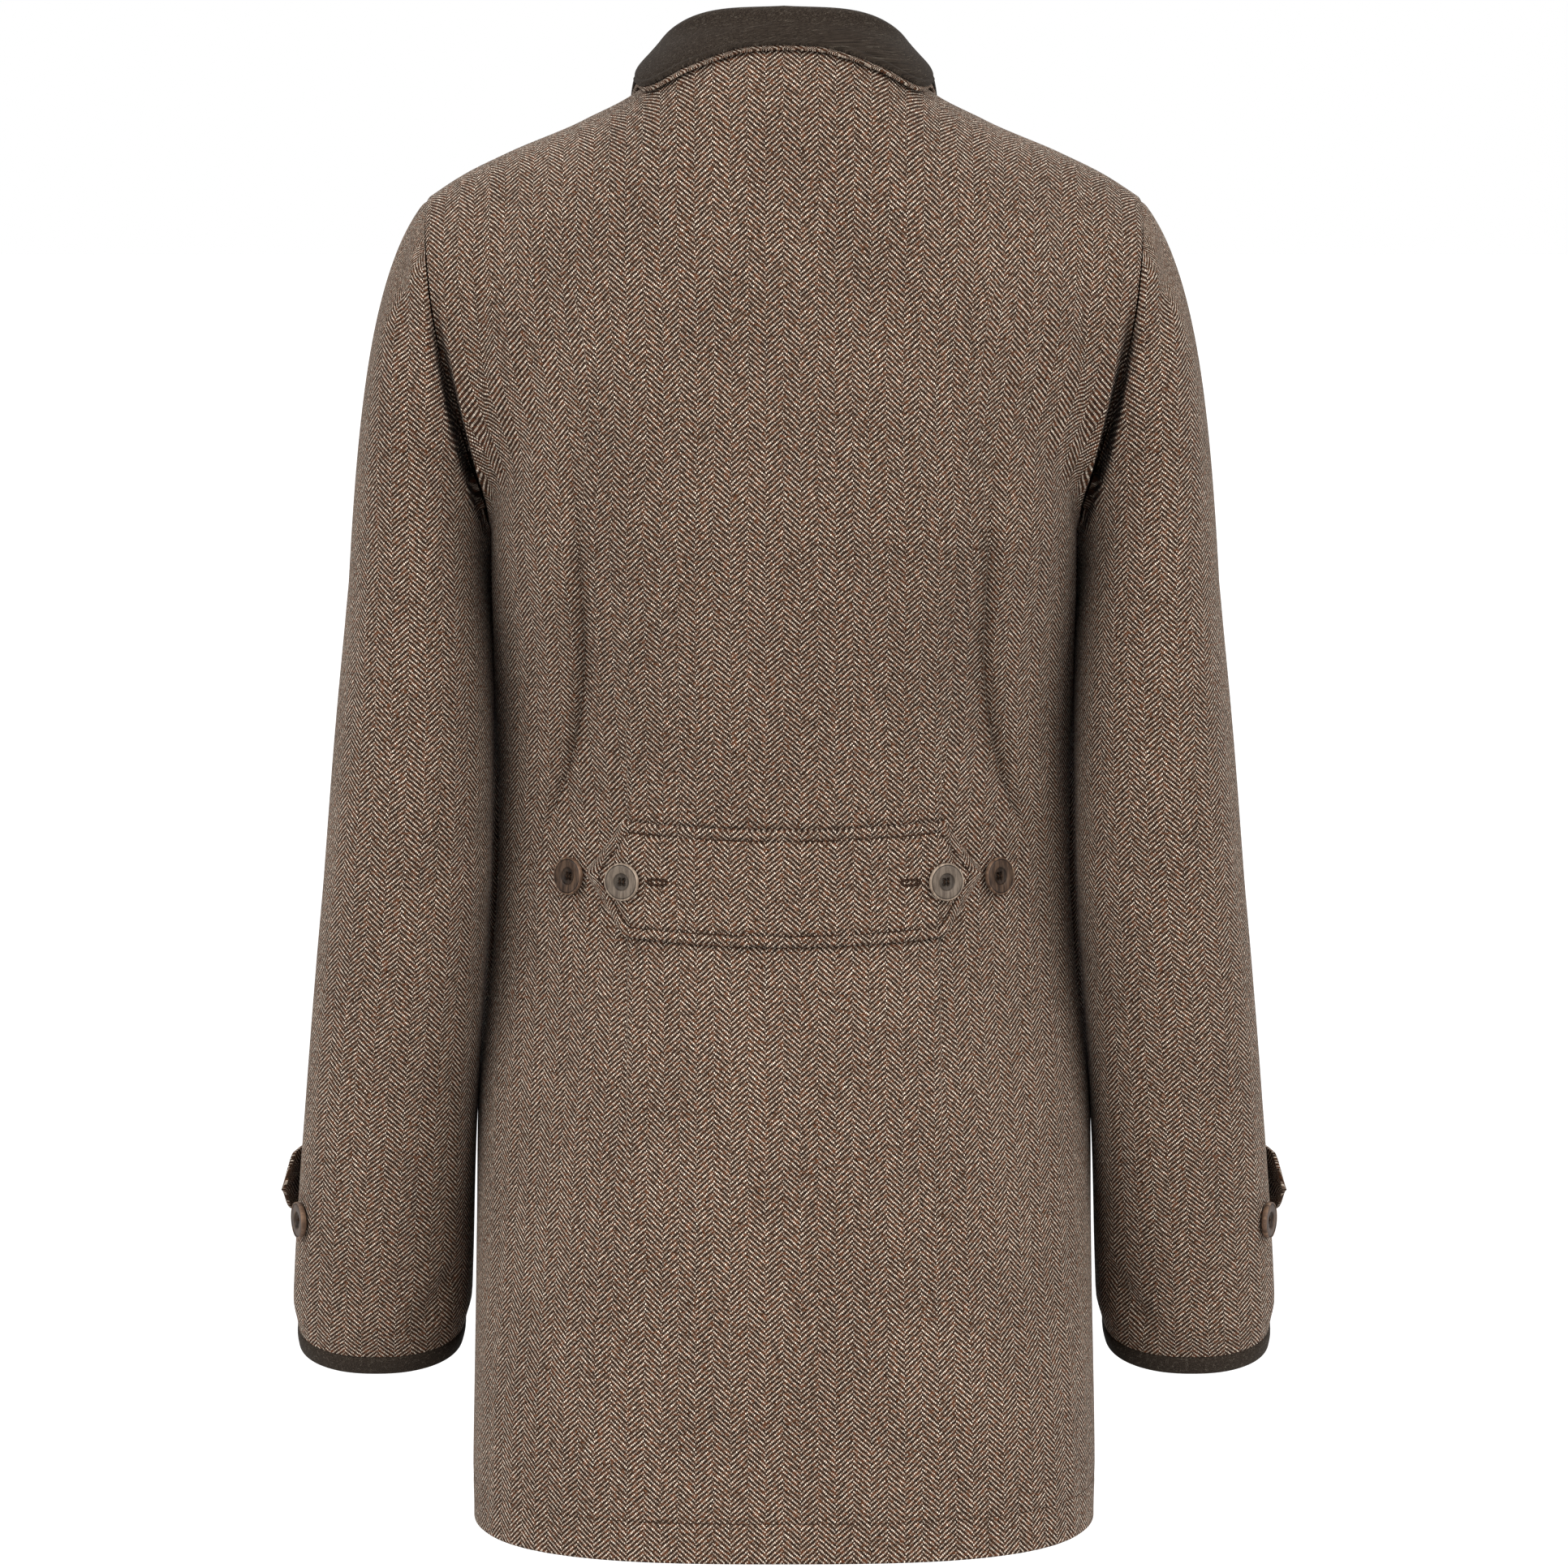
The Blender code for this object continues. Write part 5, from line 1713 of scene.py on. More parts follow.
@dataclass
class Collar:
    """Felt collar that stands and falls, with the tweed under collar rolled out below its edge."""

    torso: Torso
    finishes: Finishes
    stations: tuple[Station, ...] = (
        Station(0.0, -1.5, 41.0),
        Station(0.14, -3.0, 38.8),
        Station(0.28, -6.5, 29.5),
        Station(0.42, -9.5, 17.5),
        Station(0.60, -6.5, 0.0),
        Station(0.80, -1.0, -32.0),
        Station(1.0, 2.0, -66.0),
    )
    columns: int = 180
    wall: float = 2.2
    back_share: float = 0.42
    front_end: float = 0.14
    clear: float = 5.4
    front_clear: float = 7.0
    clear_span: float = 0.12
    leaf_side_turn: float = 0.397
    leaf_back_y: float = -71.5
    leaf_roundness: float = 2.8
    leaf_point_turn: float = 0.24
    leaf_point_lift: float = 0.28
    centre_y: float = 4.0
    stand_rise: float = 2.0
    stand_inset: float = 1.0
    fold_half_width: float = 3.6
    fold_drop: float = 4.5
    fold_round_out: float = 0.72
    fold_round_drop: float = 0.3
    leaf_bulge: float = 0.4
    side_bulge: float = 4.0
    side_bulge_share: float = 0.37
    stitch_inset: float = 3.0
    stitch_groove: float = 0.5
    under_from: float = 0.55
    under_gap: float = 0.8
    under_wall: float = 1.4
    under_rim: float = 2.3
    under_roll: float = 0.5

    def neck_point(self, share: Array) -> Array:
        """Neck seam from centre back (0) round to the end of the collar at the front (1)."""
        torso = self.torso
        behind = torso.neck_turn * np.sin(0.5 * math.pi * np.clip(share / self.back_share, 0.0, 1.0))
        front_share = np.clip((share - self.back_share) / (1.0 - self.back_share), 0.0, 1.0)
        before = torso.neck_turn * np.cos(0.5 * math.pi * front_share * (1.0 - self.front_end))
        back_points = torso.back(behind, torso.neck_lift(behind, Side.BACK))
        front_points = torso.front(before, torso.neck_lift(before, Side.FRONT))
        return np.where(share[..., None] < self.back_share, back_points, front_points)

    def edge(self, share: Array) -> Array:
        """Lower edge of the collar leaf, laid just clear of the body beneath it."""
        torso = self.torso
        quarter = 0.5 * math.pi * np.clip(share / self.back_share, 0.0, 1.0)
        turn = self.leaf_side_turn * np.sin(quarter)
        lift = torso.plan_lift(turn, Side.BACK, self.leaf_side_turn, self.leaf_back_y, self.leaf_roundness)
        facing = normal_at(torso.back, turn, np.minimum(lift, torso.below_ridge))
        behind = torso.back(turn, lift) + self.clear * facing
        quarter = 0.5 * math.pi * np.clip((share - self.back_share) / (1.0 - self.back_share), 0.0, 1.0)
        turn = self.leaf_point_turn + (self.leaf_side_turn - self.leaf_point_turn) * np.cos(quarter)
        lift = 1.0 - (1.0 - self.leaf_point_lift) * np.sin(quarter)
        past = ease((share - self.back_share) / self.clear_span)
        clear = self.clear + past * (self.front_clear - self.clear)
        facing = -normal_at(torso.front, turn, np.minimum(lift, torso.below_ridge))
        before = torso.front(turn, lift) + clear[..., None] * facing
        return np.where(share[..., None] < self.back_share, behind, before)

    def sections(self, share: Array) -> Array:
        """Cross-sections: up the stand, over the fold and down the leaf.

        Args:
            share: Shares of the way from centre back to centre front.

        Returns:
            Nine points for each share, on the middle of the wall.
        """
        base = self.neck_point(share)
        radial = unit(base * np.array([1.0, 1.0, 0.0]) - np.array([0.0, self.centre_y, 0.0]))
        up = np.array([0.0, 0.0, 1.0])
        fold = base + radial * smooth_between(self.stations, "fold_out", share)[..., None]
        fold[..., 2] = smooth_between(self.stations, "fold_z", share)
        foot = base + up * self.stand_rise - radial * self.stand_inset
        inner = fold - radial * self.fold_half_width - up * self.fold_drop
        outer = fold + radial * self.fold_half_width - up * self.fold_drop
        round_out = radial * self.fold_round_out * self.fold_half_width
        near_in = fold - round_out - up * self.fold_round_drop * self.fold_drop
        near_out = fold + round_out - up * self.fold_round_drop * self.fold_drop
        edge = self.edge(share)
        bulge = self.leaf_bulge + self.side_bulge * bell(share - self.side_bulge_share, 0.13)
        outer = outer + radial * (0.6 * (bulge - self.leaf_bulge))[..., None]
        middle = 0.5 * (outer + edge) + radial * (0.7 * bulge)[..., None]
        return np.stack([foot, 0.5 * (foot + inner), inner, near_in, fold, near_out, outer, middle, edge], axis=-2)

    def grids(self) -> tuple[Array, Array, Array]:
        """Control points, fine points on curves through them, and outward normals.

        Returns:
            Three grids from the left front round the neck to the right front.
        """
        signed = np.linspace(-1.0, 1.0, self.columns + 1)
        control = self.sections(np.abs(signed))
        control[..., 0] *= np.where(signed < 0.0, -1.0, 1.0)[:, None]
        knots = run_length(control, 1).mean(axis=0)
        end = knots[-1]
        near_edge = end - np.array([0.0, 0.5, 1.2, 2.0, 2.5, 3.0, 3.5, 4.0, 5.0])
        round_fold = np.linspace(knots[2] - 2.0, knots[6] + 2.0, 16)
        at = np.unique(np.concatenate([np.linspace(0.0, end, 26), near_edge, round_fold]))
        points = np.moveaxis(curve_through(knots, np.moveaxis(control, 1, 0), at), 0, 1)
        return control, points, -grid_normals(points)

    def shell(self) -> Shell:
        """Top collar, grooved along its stitch line near the edge.

        Returns:
            The wall of the collar.
        """
        _, points, outwards = self.grids()
        across = run_length(points, 1)
        from_edge = across[:, -1:] - across
        groove = self.stitch_groove * bell(from_edge - self.stitch_inset, 0.8)
        half = 0.5 * self.wall
        outside = points + (half - groove - 0.5 * bell(from_edge, 0.6))[..., None] * outwards
        grain = np.stack([run_length(points, 0), across], axis=-1)
        return Shell(outside, points - half * outwards, grain, first_bulge=0.6, last_bulge=0.7)

    def under_shell(self) -> Shell:
        """Under collar: follows the leaf beneath, and swells to a soft roll at its edge.

        Returns:
            The wall of the under collar.
        """
        control, points, outwards = self.grids()
        leaf = control[:, -3:]
        run = unit(leaf[:, 2] - leaf[:, 1])
        first = leaf[:, 0] + (leaf[:, 1] - leaf[:, 0]) * self.under_from
        rows = np.stack([first, leaf[:, 1], leaf[:, 2], leaf[:, 2] + self.under_rim * run], axis=1)
        knots = run_length(rows, 1).mean(axis=0)
        rim = knots[-1] - np.array([0.0, 0.5, 1.1, 1.8, 2.5, 3.2, 4.0])
        at = np.unique(np.concatenate([np.linspace(0.0, knots[-1], 14), rim]))
        fine = np.moveaxis(curve_through(knots, np.moveaxis(rows, 1, 0), at), 0, 1)
        facing = np.repeat(outwards[:, -1:], fine.shape[1], axis=1)
        shares = np.linspace(0.0, 1.0, fine.shape[1])[:, None]
        facing = unit(outwards[:, -12:-11] * (1.0 - shares) + facing * shares)
        roll = self.under_roll * bell(at[-1] - at - 1.5, 1.5)[None, :, None]
        top = fine - (0.5 * self.wall + self.under_gap) * facing
        grain = np.stack([run_length(fine, 0), run_length(fine, 1)], axis=-1)
        bottom = top - (self.under_wall + 0.3 * roll) * facing
        return Shell(top + roll * facing, bottom, grain, first_bulge=0.0, last_bulge=0.5, bias=25.0, fine=1.8)

    def stitches(self) -> None:
        """Stitch line just inside the lower edge of the collar."""
        _, points, outwards = self.grids()
        across = run_length(points, 1)
        row = int(np.argmin(np.abs(across[0, -1] - across[0] - self.stitch_inset)))
        lift = 0.5 * self.wall - self.stitch_groove
        path = points[:, row] + lift * outwards[:, row]
        mesh = StitchRun(pitch=2.6, length=2.1, radius=0.22).mesh("collar_stitches", path, outwards[:, row])
        place_piece("collar_stitches", mesh, self.finishes.thread)

    def build(self) -> None:
        """Place the collar, its under collar and its stitches."""
        tweed, felt = self.finishes.tweed, self.finishes.felt
        place_cloth("collar_felt", self.shell(), felt, "collar", ["back"])
        place_cloth(
            "under_collar_cloth", self.under_shell(), tweed, "under_collar", ["collar"]
        )
        self.stitches()


@dataclass
class HalfBelt:
    """Half belt across the back waist: two layers stitched round, pointed and buttoned at each end."""

    torso: Torso
    finishes: Finishes
    z: float = -416.5
    half_height: float = 30.5
    corner_x: float = 84.0
    tip_x: float = 103.5
    tip_half_height: float = 1.2
    sag: float = 2.6
    wall: float = 3.0
    laid_gap: float = 0.6
    columns: int = 150
    rows: int = 46
    stitch_inset: float = 5.4
    stitch_groove: float = 1.6
    stitch_groove_width: float = 1.5
    edge_share: float = 0.45
    edge_round: float = 1.6
    end_span: float = 6.0
    end_thinning: float = 0.45
    end_groove_fade: float = 0.7
    fullness: float = 0.5
    fullness_span: float = 9.0
    pucker: float = 0.12
    pucker_span: float = 5.0
    hole_from_x: float = 70.0
    hole_to_x: float = 60.5
    hole_z: float = -414.6

    def height(self, x: Array) -> Array:
        """Half height at each place, narrowing to the point."""
        taper = np.clip((self.tip_x - np.abs(x)) / (self.tip_x - self.corner_x), 0.0, 1.0)
        return self.tip_half_height + (self.half_height - self.tip_half_height) * taper

    def surface(self, x: Array, rise: Array) -> Array:
        """Back points under the belt, at a share of its height."""
        x, rise = np.broadcast_arrays(np.asarray(x, float), np.asarray(rise, float))
        z = self.z + self.sag * (x / self.corner_x) ** 2 + rise * self.height(x)
        return self.torso.back(self.torso.turn_of(x, z), self.torso.lift_of(z))

    def inset(self, x: Array, rise: Array) -> Array:
        """Distance in from the belt's outline: the nearer of a long edge and a slanted end."""
        level = np.abs(rise) * self.height(x)
        run, fall = self.tip_x - self.corner_x, self.half_height - self.tip_half_height
        slant = (self.tip_x - np.abs(x)) * fall + (self.tip_half_height - level) * run
        return np.minimum(self.half_height - level, slant / math.hypot(run, fall))

    def shell(self) -> Shell:
        """Belt face: full between its stitch lines, grooved along them, rounded at its edges.

        Returns:
            The wall of the belt.
        """
        ends = np.linspace(self.corner_x, self.tip_x, 24)[1:]
        body = np.linspace(-self.corner_x, self.corner_x, self.columns + 1)
        x = np.concatenate([-ends[::-1], body, ends])[:, None]
        edge_rows = 1.0 - np.array([0.0, 0.4, 1.0, 2.0, 3.2, 4.2, 4.8, 5.4, 6.0, 6.6, 7.6]) / self.half_height
        half = np.unique(np.concatenate([np.linspace(0.0, 0.72, self.rows // 2), edge_rows]))
        rise = np.concatenate([-half[:0:-1], half])[None]
        points = self.surface(x, rise)
        outwards = grid_normals(points)
        inset = self.inset(*np.broadcast_arrays(x, rise))
        end = ease((np.abs(x) - self.corner_x) / self.end_span)
        rounded = np.sqrt(np.clip(inset / self.edge_round, 0.0, 1.0))
        full = self.wall * (1.0 - self.end_thinning * end) * (self.edge_share + (1.0 - self.edge_share) * rounded)
        past = inset - self.stitch_inset
        full -= self.stitch_groove * (1.0 - self.end_groove_fade * end) * bell(past, self.stitch_groove_width)
        full += self.fullness * ease(past / self.fullness_span)
        full += self.pucker * np.sin(x / 6.5 + 3.0 * rise) * bell(past, self.pucker_span)
        inside = points + self.laid_gap * outwards
        grain = np.stack([run_length(points, 0), run_length(points, 1)], axis=-1)
        middle = points.shape[0] // 2
        grain[..., 0] -= grain[middle : middle + 1, :, 0]
        grain[..., 1] -= grain[:, points.shape[1] // 2 : points.shape[1] // 2 + 1, 1]
        return Shell(inside + full[..., None] * outwards, inside, grain, first_bulge=0.5, last_bulge=0.5)

    def stitch_path(self) -> tuple[Array, Array]:
        """Line that keeps the stitch inset from the outline, all round.

        Returns:
            Points and outward directions.
        """
        inset = self.stitch_inset
        run, fall = self.tip_x - self.corner_x, self.half_height - self.tip_half_height
        slant = math.hypot(run, fall)
        top = self.half_height - inset
        corner = self.tip_x - (inset * slant - (self.tip_half_height - top) * run) / fall
        point = self.tip_x - (inset * slant - self.tip_half_height * run) / fall
        outline = np.array(
            [(-point, 0.0), (-corner, top), (corner, top), (point, 0.0), (corner, -top), (-corner, -top), (-point, 0.0)]
        )
        run_at = run_length(outline, 0, (0, 1))
        at = np.linspace(0.0, run_at[-1], 420)
        x, level = np.interp(at, run_at, outline[:, 0]), np.interp(at, run_at, outline[:, 1])
        rise = level / self.height(x)
        outwards = normal_at(self.surface, x, rise, 0.05)
        lift = self.laid_gap + self.wall - self.stitch_groove + 0.1
        return self.surface(x, rise) + lift * outwards, outwards

    def build(self) -> None:
        """Place the belt, its stitches and its two buttonholes."""
        place_cloth("half_belt_cloth", self.shell(), self.finishes.tweed, "half_belt", ["back"])
        path, outwards = self.stitch_path()
        run = StitchRun(pitch=2.9, length=2.3, radius=0.45)
        place_piece("half_belt_stitches", run.mesh("half_belt_stitches", path, outwards), self.finishes.thread)
        for hand in Hand:
            ends = np.array([self.hole_from_x, self.hole_to_x])
            z = np.array([self.hole_z, self.hole_z])
            turns, lifts = self.torso.turn_of(ends, z), self.torso.lift_of(z)
            facing = normal_at(self.torso.back, turns, lifts)
            points = self.torso.back(turns, lifts) + (self.laid_gap + self.wall + 0.4) * facing
            name = "belt_buttonhole_" + hand.word
            hole = Buttonhole().mesh(name, hand.place(points), hand.place(facing.mean(axis=0)))
            place_piece(name, hole, self.finishes.thread)


@dataclass(frozen=True)
class Buttonhole:
    """Worked buttonhole: two lips of close stitches round a slit, with a bar at its end."""

    half_height: float = 1.4
    lip: float = 0.9
    stitch: float = 0.75
    around: int = 120
    sides: int = 8

    def mesh(self, name: str, ends: Array, facing: Array) -> Mesh:
        """Tube round a long flat loop, its radius beating once a stitch, over a thin dark slit.

        Args:
            name: Name of the mesh.
            ends: Two end points of the hole on the cloth.
            facing: Outward direction.

        Returns:
            The mesh.
        """
        facing = unit(facing)
        ahead = unit(ends[1] - ends[0])
        up = unit(np.cross(facing, ahead))
        middle, half = ends.mean(axis=0), 0.5 * np.linalg.norm(ends[1] - ends[0])
        angle = np.linspace(0.0, 2.0 * math.pi, self.around, endpoint=False)
        radius = reach(angle, 4.0)
        flat_x, flat_y = half * radius * np.cos(angle), self.half_height * radius * np.sin(angle)
        out_x, out_y = np.gradient(flat_y), -np.gradient(flat_x)
        size = np.hypot(out_x, out_y)
        run = np.cumsum(size)
        thick = self.lip * (0.86 + 0.14 * np.cos(2.0 * math.pi * run / self.stitch))
        turn = np.linspace(0.0, 2.0 * math.pi, self.sides, endpoint=False)
        outward = (out_x / size)[:, None] * ahead + (out_y / size)[:, None] * up
        centre = middle + flat_x[:, None] * ahead + flat_y[:, None] * up
        spread = np.cos(turn)[None, :, None] * outward[:, None] + np.sin(turn)[None, :, None] * facing
        ring = centre[:, None] + thick[:, None, None] * spread
        index = np.arange(ring.shape[0] * self.sides).reshape(ring.shape[0], self.sides)
        index = np.concatenate([index, index[:1]])
        index = np.concatenate([index, index[:, :1]], axis=1)
        quads = grid_quads(index)
        flat = ring.reshape(-1, 3)[:, [0, 2]] * MM
        return put_mesh(name, ring, [quads], [flat[quads]])


@dataclass
class CuffTabs:
    """Pointed tabs round the outside of the cuffs, buttoned, with their points standing off."""

    arm: Arm
    finishes: Finishes
    z: float = -598.0
    half_height: float = 16.5
    tip_half_height: float = 1.0
    start: float = -84.0
    end: float = 6.0
    button: float = -40.0
    point_span: float = 15.0
    flare: float = 6.8
    wall: float = 2.4
    edge_share: float = 0.45
    edge_round: float = 1.4
    laid_gap: float = 0.6
    columns: int = 90
    point_columns: int = 22
    stitch_inset: float = 4.6
    stitch_groove: float = 0.6

    def surface(self, angle: Array, rise: Array) -> tuple[Array, Array, Array]:
        """Sleeve points under the tab, outward directions and stand-off.

        Args:
            angle: Degrees round the sleeve.
            rise: Share of the half height.

        Returns:
            Points, directions and the distance that the tab stands off.
        """
        angle, rise = np.broadcast_arrays(np.asarray(angle, float), np.asarray(rise, float))
        from_point = np.clip((self.end - angle) / self.point_span, 0.0, 1.0)
        pointed = 0.5 * (ease(from_point) + from_point)
        z = self.z + rise * (self.tip_half_height + (self.half_height - self.tip_half_height) * pointed)
        turn = np.radians(angle)
        free = np.clip((angle - self.button) / (self.end - self.button), 0.0, 1.0)
        return self.arm.ring(turn, z), -normal_at(self.arm.ring, turn, z), self.flare * free**2

    def shell(self) -> Shell:
        """Tab face, grooved along its stitch line and rounded at its edges.

        Returns:
            The wall of the right tab.
        """
        corner = self.end - self.point_span
        body = np.linspace(self.start, corner, self.columns)
        angle = np.concatenate([body, np.linspace(corner, self.end, self.point_columns)[1:]])[:, None]
        half = np.unique(np.concatenate([np.linspace(0.0, 0.6, 8), np.linspace(0.62, 1.0, 12)]))
        rise = np.concatenate([-half[:0:-1], half])[None]
        points, outwards, stand_off = self.surface(angle, rise)
        up = run_length(points, 1)
        inset = np.minimum(np.minimum(up, up[:, -1:] - up), run_length(points, 0))
        rounded = np.sqrt(np.clip(inset / self.edge_round, 0.0, 1.0))
        full = self.wall * (self.edge_share + (1.0 - self.edge_share) * rounded)
        full = full - self.stitch_groove * bell(inset - self.stitch_inset, 1.0)
        inside = points + (self.laid_gap + stand_off)[..., None] * outwards
        grain = np.stack([up - 0.5 * up[:, -1:], run_length(points, 0)], axis=-1)
        return Shell(inside + full[..., None] * outwards, inside, grain, first_bulge=0.4, last_bulge=0.4)

    def build(self) -> None:
        """Place both tabs."""
        shell = self.shell()
        for hand in Hand:
            node, placed = "cuff_tab_" + hand.word, shell.placed(hand)
            place_cloth(node + "_cloth", placed, self.finishes.tweed, node, ["sleeve_" + hand.word])


@dataclass(frozen=True)
class Button:
    """Turned horn button: thin lip, flat band, sunk centre with four holes."""

    profile: tuple[tuple[float, float], ...] = (
        (0.0, 1.9), (0.5, 1.9), (0.9, 1.9), (1.2, 1.9), (1.5, 1.9), (1.8, 1.9), (2.1, 1.9), (2.5, 1.9), (3.0, 1.92),
        (3.6, 1.95), (4.2, 2.1), (4.55, 2.6), (4.8, 2.98), (5.2, 3.12), (6.0, 3.2), (7.2, 3.22), (8.2, 3.18),
        (8.6, 3.1), (8.85, 2.92), (9.1, 3.1), (9.35, 3.42), (9.6, 3.4), (9.85, 3.1), (10.0, 2.4), (9.9, 1.6),
        (9.4, 0.6), (8.6, 0.0), (4.0, 0.0), (0.0, 0.0),
    )
    segments: int = 64
    hole_offset: float = 1.55
    hole_radius: float = 1.0
    hole_edge: float = 0.3
    hole_depth: float = 1.5
    thread_radius: float = 0.34

    def mesh(self, name: str, seat: Array, facing: Array) -> Mesh:
        """Profile turned about the axis, its centre pressed in at the four holes.

        Args:
            name: Name of the mesh.
            seat: Point that the button lies on.
            facing: Outward direction.

        Returns:
            The mesh; its grain is the button's own face in metres.
        """
        frame_axes = self.axes(facing)
        radius, height = np.array(self.profile[1:-1]).T
        angle = np.linspace(0.0, 2.0 * math.pi, self.segments, endpoint=False)
        x, y = radius[:, None] * np.cos(angle), radius[:, None] * np.sin(angle)
        z = np.repeat(height[:, None], self.segments, axis=1)
        top = (np.arange(len(radius)) < len(radius) // 2)[:, None]
        for hole_x, hole_y in self.holes():
            away = np.hypot(x - hole_x, y - hole_y)
            z = z - top * self.hole_depth * (1.0 - ease((away - self.hole_radius) / self.hole_edge + 0.5))
        rings = np.stack([x, y, z], axis=-1).reshape(-1, 3)
        local = np.concatenate([rings, [(0.0, 0.0, self.profile[0][1]), (0.0, 0.0, 0.0)]])
        index = np.arange(len(rings)).reshape(len(radius), self.segments)
        wrapped = np.concatenate([index, index[:, :1]], axis=1)
        quads = grid_quads(wrapped)
        first, last = len(rings), len(rings) + 1
        fans = [
            np.stack([np.full(self.segments, first), wrapped[0, 1:], wrapped[0, :-1]], axis=1),
            np.stack([np.full(self.segments, last), wrapped[-1, :-1], wrapped[-1, 1:]], axis=1),
        ]
        face = local[:, :2] * MM
        return put_mesh(name, seat + local @ frame_axes, [quads, *fans], [face[part] for part in (quads, *fans)], 40.0)

    def holes(self) -> list[tuple[float, float]]:
        """Centres of the four holes on the face."""
        side = self.hole_offset / math.sqrt(2.0)
        return [(a * side, b * side) for a in (-1.0, 1.0) for b in (-1.0, 1.0)]

    def axes(self, facing: Array) -> Array:
        """Rows: the button's level, upright and outward directions."""
        facing = unit(facing)
        level = unit(np.cross(np.array([0.0, 0.0, 1.0]), facing))
        return np.stack([level, np.cross(facing, level), facing])

    def threads(self, name: str, seat: Array, facing: Array) -> Mesh:
        """Two upright bars of thread from hole to hole.

        Args:
            name: Name of the mesh.
            seat: Point that the button lies on.
            facing: Outward direction.

        Returns:
            The mesh.
        """
        side = self.hole_offset / math.sqrt(2.0)
        share = np.linspace(0.0, 1.0, 9)
        angle = np.linspace(0.0, 2.0 * math.pi, 8, endpoint=False)
        tubes = []
        for x in (-side, side):
            y = side * (2.0 * share - 1.0)
            z = 1.2 + 1.0 * np.sin(math.pi * share)
            ring = self.thread_radius * np.stack([np.cos(angle), 0.0 * angle, np.sin(angle)], axis=-1)
            tubes.append(np.stack([x + 0.0 * y, y, z], axis=-1)[:, None] + ring)
        points = seat + np.stack(tubes) @ self.axes(facing)
        return tubes_mesh(name, points)


@dataclass
class Buttons:
    """Buttons of the half belt, sleeves, cuff tabs and front, each where the frame has it."""

    torso: Torso
    arm: Arm
    tabs: CuffTabs
    belt: HalfBelt
    finishes: Finishes
    laid_gap: float = 0.6
    belt_fullness: float = 0.4
    belt_z: float = -415.2
    belt_inner_x: float = 82.5
    belt_outer_x: float = 112.5
    sleeve_z: float = -607.0
    sleeve_angle: float = 27.0
    sleeve_sink: float = 0.4
    front_top: float = -124.0
    front_step: float = 107.0
    front_count: int = 5

    def belt_seat(self, x: float, raised: float) -> tuple[Array, Array]:
        """Seat and direction of a belt button."""
        turn, lift = self.torso.turn_of(np.array(x), self.belt_z), self.torso.lift_of(self.belt_z)
        facing = normal_at(self.torso.back, turn, lift)
        return self.torso.back(turn, lift) + (raised + self.laid_gap) * facing, facing

    def sleeve_seat(self) -> tuple[Array, Array]:
        """Seat and direction of the spare button on the right sleeve."""
        angle, z = np.array(math.radians(self.sleeve_angle)), np.array(self.sleeve_z)
        facing = -normal_at(self.arm.ring, angle, z)
        return self.arm.ring(angle, z) + (self.laid_gap - self.sleeve_sink) * facing, facing

    def tab_seat(self) -> tuple[Array, Array]:
        """Seat and direction of the button on the right tab."""
        point, facing, _ = self.tabs.surface(self.tabs.button, 0.0)
        return point + (2.0 * self.laid_gap + self.tabs.wall) * facing, facing

    def front_seat(self, z: float) -> tuple[Array, Array]:
        """Seat and direction of a front button on the centre line at a height."""
        torso = self.torso
        rise = max(0.0, (z - torso.underarm.z) / (torso.ridge[0].z - torso.underarm.z))
        lift = min(torso.lift_of(z), 0.0) + 1.0 - (1.0 - rise) ** (1.0 / torso.row_spread)
        facing = -normal_at(torso.front, np.array(0.0), np.array(lift))
        return torso.front(np.array(0.0), np.array(lift)) + self.laid_gap * facing, facing

    def place(self, node: str, seat: Array, facing: Array) -> None:
        """Place one button and its threads."""
        button = Button()
        # buttons other than the inner belt and front ones get the darker horn copy, as painted shade
        horn = self.finishes.horn if "inner" in node or "front" in node else self.finishes.dark_horn
        place_piece(node + "_horn", button.mesh(node + "_horn", seat, facing), horn, [node])
        place_piece(node + "_thread", button.threads(node + "_thread", seat, facing), self.finishes.thread)

    def build(self) -> None:
        """Place every button."""
        belt_raise = self.belt.laid_gap + self.belt.wall + self.belt_fullness
        for hand in Hand:
            for word, (seat, facing) in (
                ("belt_button_inner_", self.belt_seat(self.belt_inner_x, belt_raise)),
                ("belt_button_outer_", self.belt_seat(self.belt_outer_x, 0.0)),
                ("sleeve_button_", self.sleeve_seat()),
                ("tab_button_", self.tab_seat()),
            ):
                self.place(word + hand.word, hand.place(seat), hand.place(facing))
        for number in range(self.front_count):
            self.place(f"front_button_{number + 1}", *self.front_seat(self.front_top - self.front_step * number))


class Lamp(NamedTuple):
    """Distant soft light: degrees round from behind the jacket, degrees up, strength and spread."""

    name: str
    turn: float
    rise: float
    strength: float
    spread: float


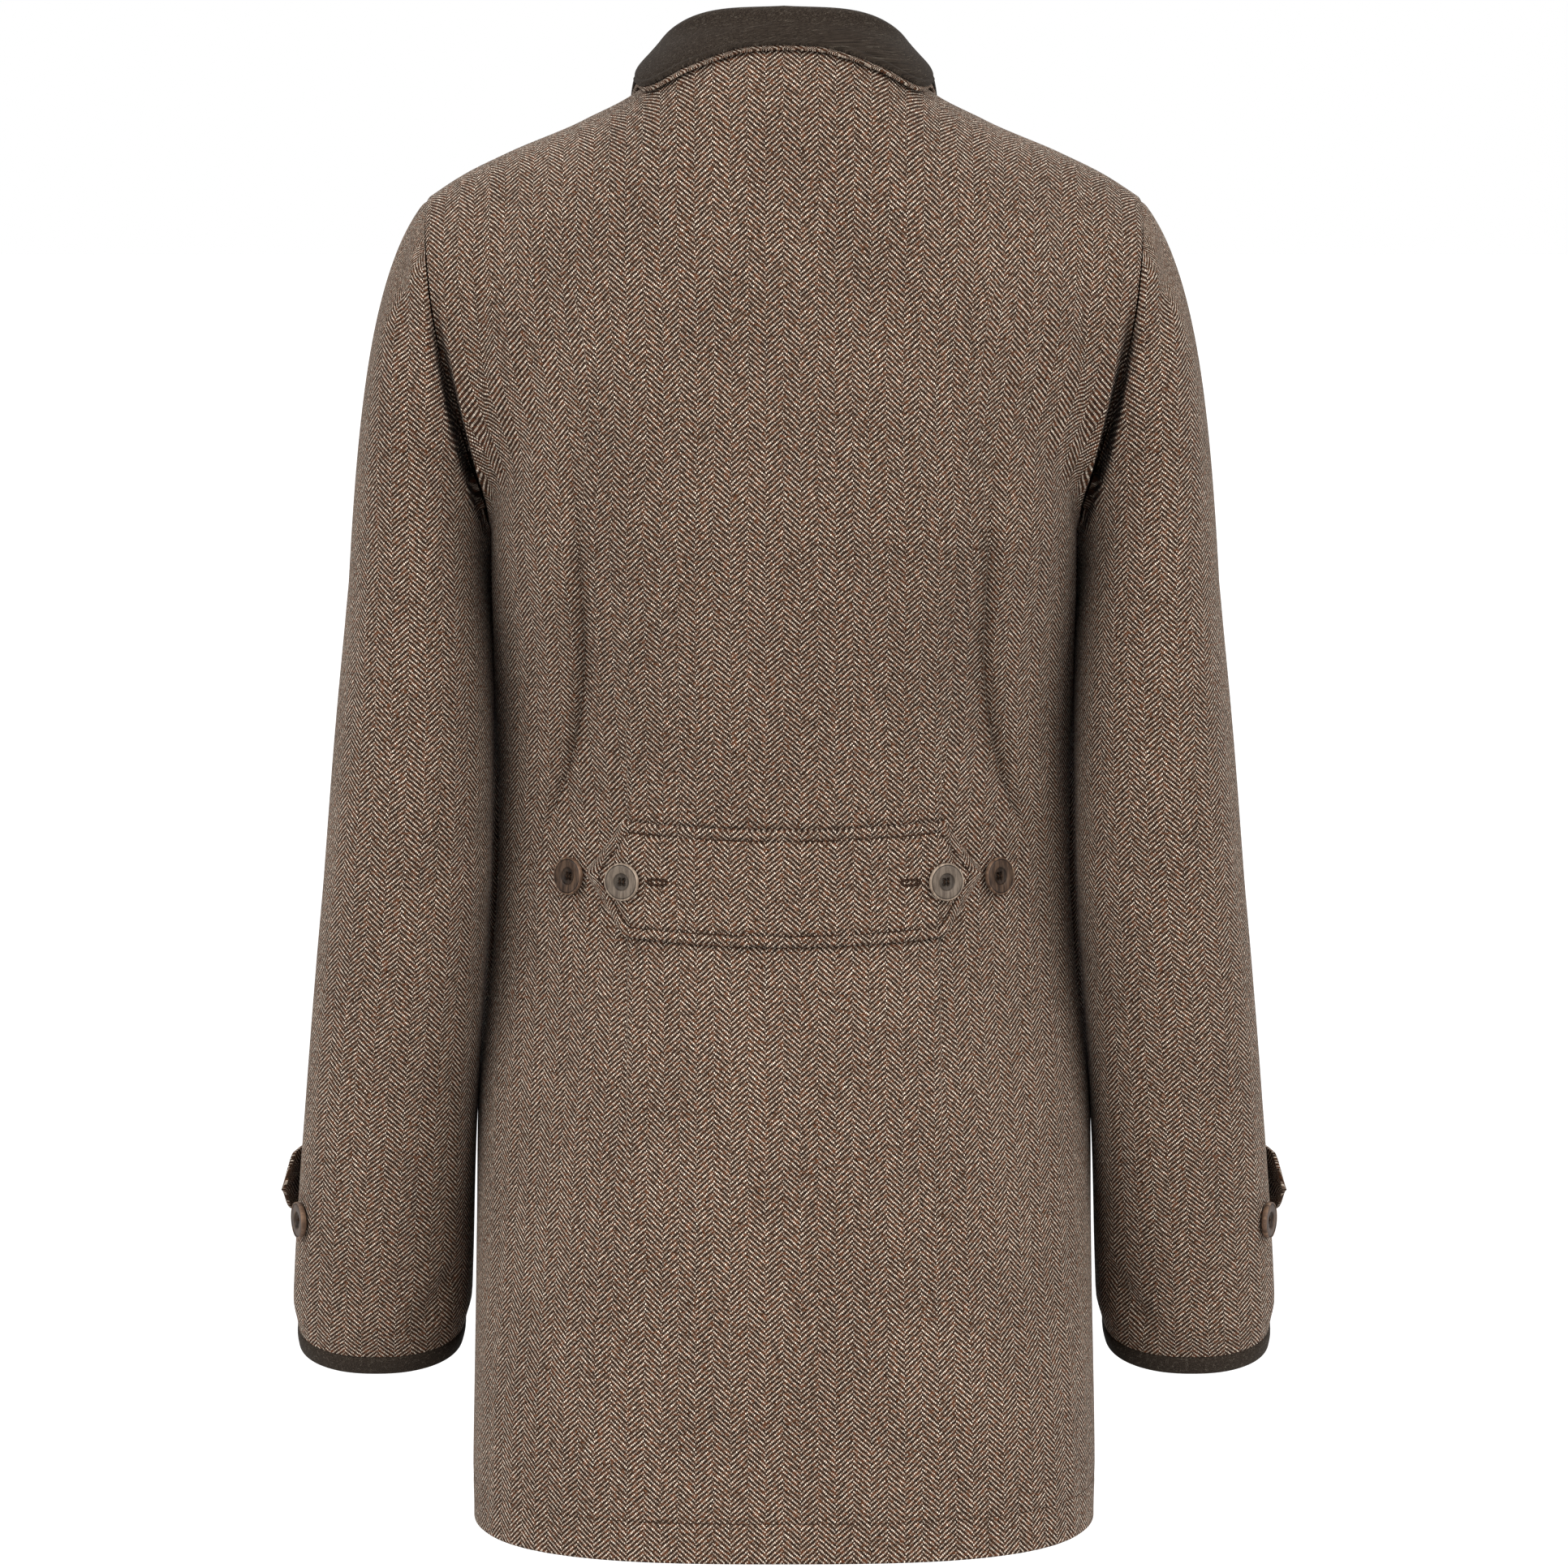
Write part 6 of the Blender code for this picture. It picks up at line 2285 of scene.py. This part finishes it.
@dataclass
class Studio:
    """Pale floor, white surroundings, banks of soft light and the camera."""

    floor_z: float = -1100.0
    floor_half: float = 30000.0
    camera_y: float = -3176.1
    camera_z: float = 18.0
    camera_tilt: float = 83.0
    lens: float = 136.8
    sensor: float = 36.0
    surround: float = 0.42
    lamps: tuple[Lamp, ...] = (
        Lamp("left_bank", -50.0, 33.0, 2.6, 50.0),
        Lamp("right_bank", 50.0, 33.0, 2.6, 50.0),
        Lamp("rear_bank", 180.0, 52.0, 2.0, 70.0),
    )

    def build(self) -> None:
        """Make the floor, world, lights and camera."""
        scene = bpy.context.scene
        scene.view_settings.view_transform = "Standard"
        half, z = self.floor_half * MM, self.floor_z * MM
        mesh = bpy.data.meshes.new("floor")
        mesh.from_pydata([(-half, -half, z), (half, -half, z), (half, half, z), (-half, half, z)], [], [(0, 1, 2, 3)])
        mesh.materials.append(StudioFloor().material())
        floor = bpy.data.objects.new("floor", mesh)
        scene.collection.objects.link(floor)
        world = bpy.data.worlds.new("studio")
        world.use_nodes = True
        background = world.node_tree.nodes["Background"]
        background.inputs["Color"].default_value = linear("FFFFFF")
        seen = add_node(world.node_tree, "LightPath", {})
        strength = {0: seen.outputs["Is Camera Ray"], 1: 1.0 - self.surround, 2: self.surround}
        strength = add_node(world.node_tree, "Math", strength, operation="MULTIPLY_ADD")
        world.node_tree.links.new(strength.outputs[0], background.inputs["Strength"])
        scene.world = world
        for bank in self.lamps:
            lamp = bpy.data.lights.new(bank.name, "SUN")
            lamp.energy, lamp.angle = bank.strength, math.radians(bank.spread)
            placed = bpy.data.objects.new(bank.name, lamp)
            placed.rotation_euler = (math.radians(90.0 - bank.rise), 0.0, math.radians(bank.turn))
            scene.collection.objects.link(placed)
        lens = bpy.data.cameras.new("camera")
        lens.lens, lens.sensor_width = self.lens, self.sensor
        camera = bpy.data.objects.new("camera", lens)
        camera.location = (0.0, self.camera_y * MM, self.camera_z * MM)
        camera.rotation_euler = (math.radians(self.camera_tilt), 0.0, 0.0)
        scene.collection.objects.link(camera)
        scene.camera = camera


def main() -> None:
    """Build the jacket piece by piece, then the studio."""
    logging.basicConfig(level=logging.INFO, format="%(name)s: %(message)s")
    finishes = Finishes()
    torso = Torso()
    arm = Arm(torso)
    tabs = CuffTabs(arm, finishes)
    belt = HalfBelt(torso, finishes)
    BackPanel(torso, finishes, belt=belt).build()
    Fronts(torso, finishes).build()
    Sleeves(arm, finishes).build()
    Collar(torso, finishes).build()
    belt.build()
    tabs.build()
    Buttons(torso, arm, tabs, belt, finishes).build()
    Studio().build()


if __name__ == "__main__":
    main()
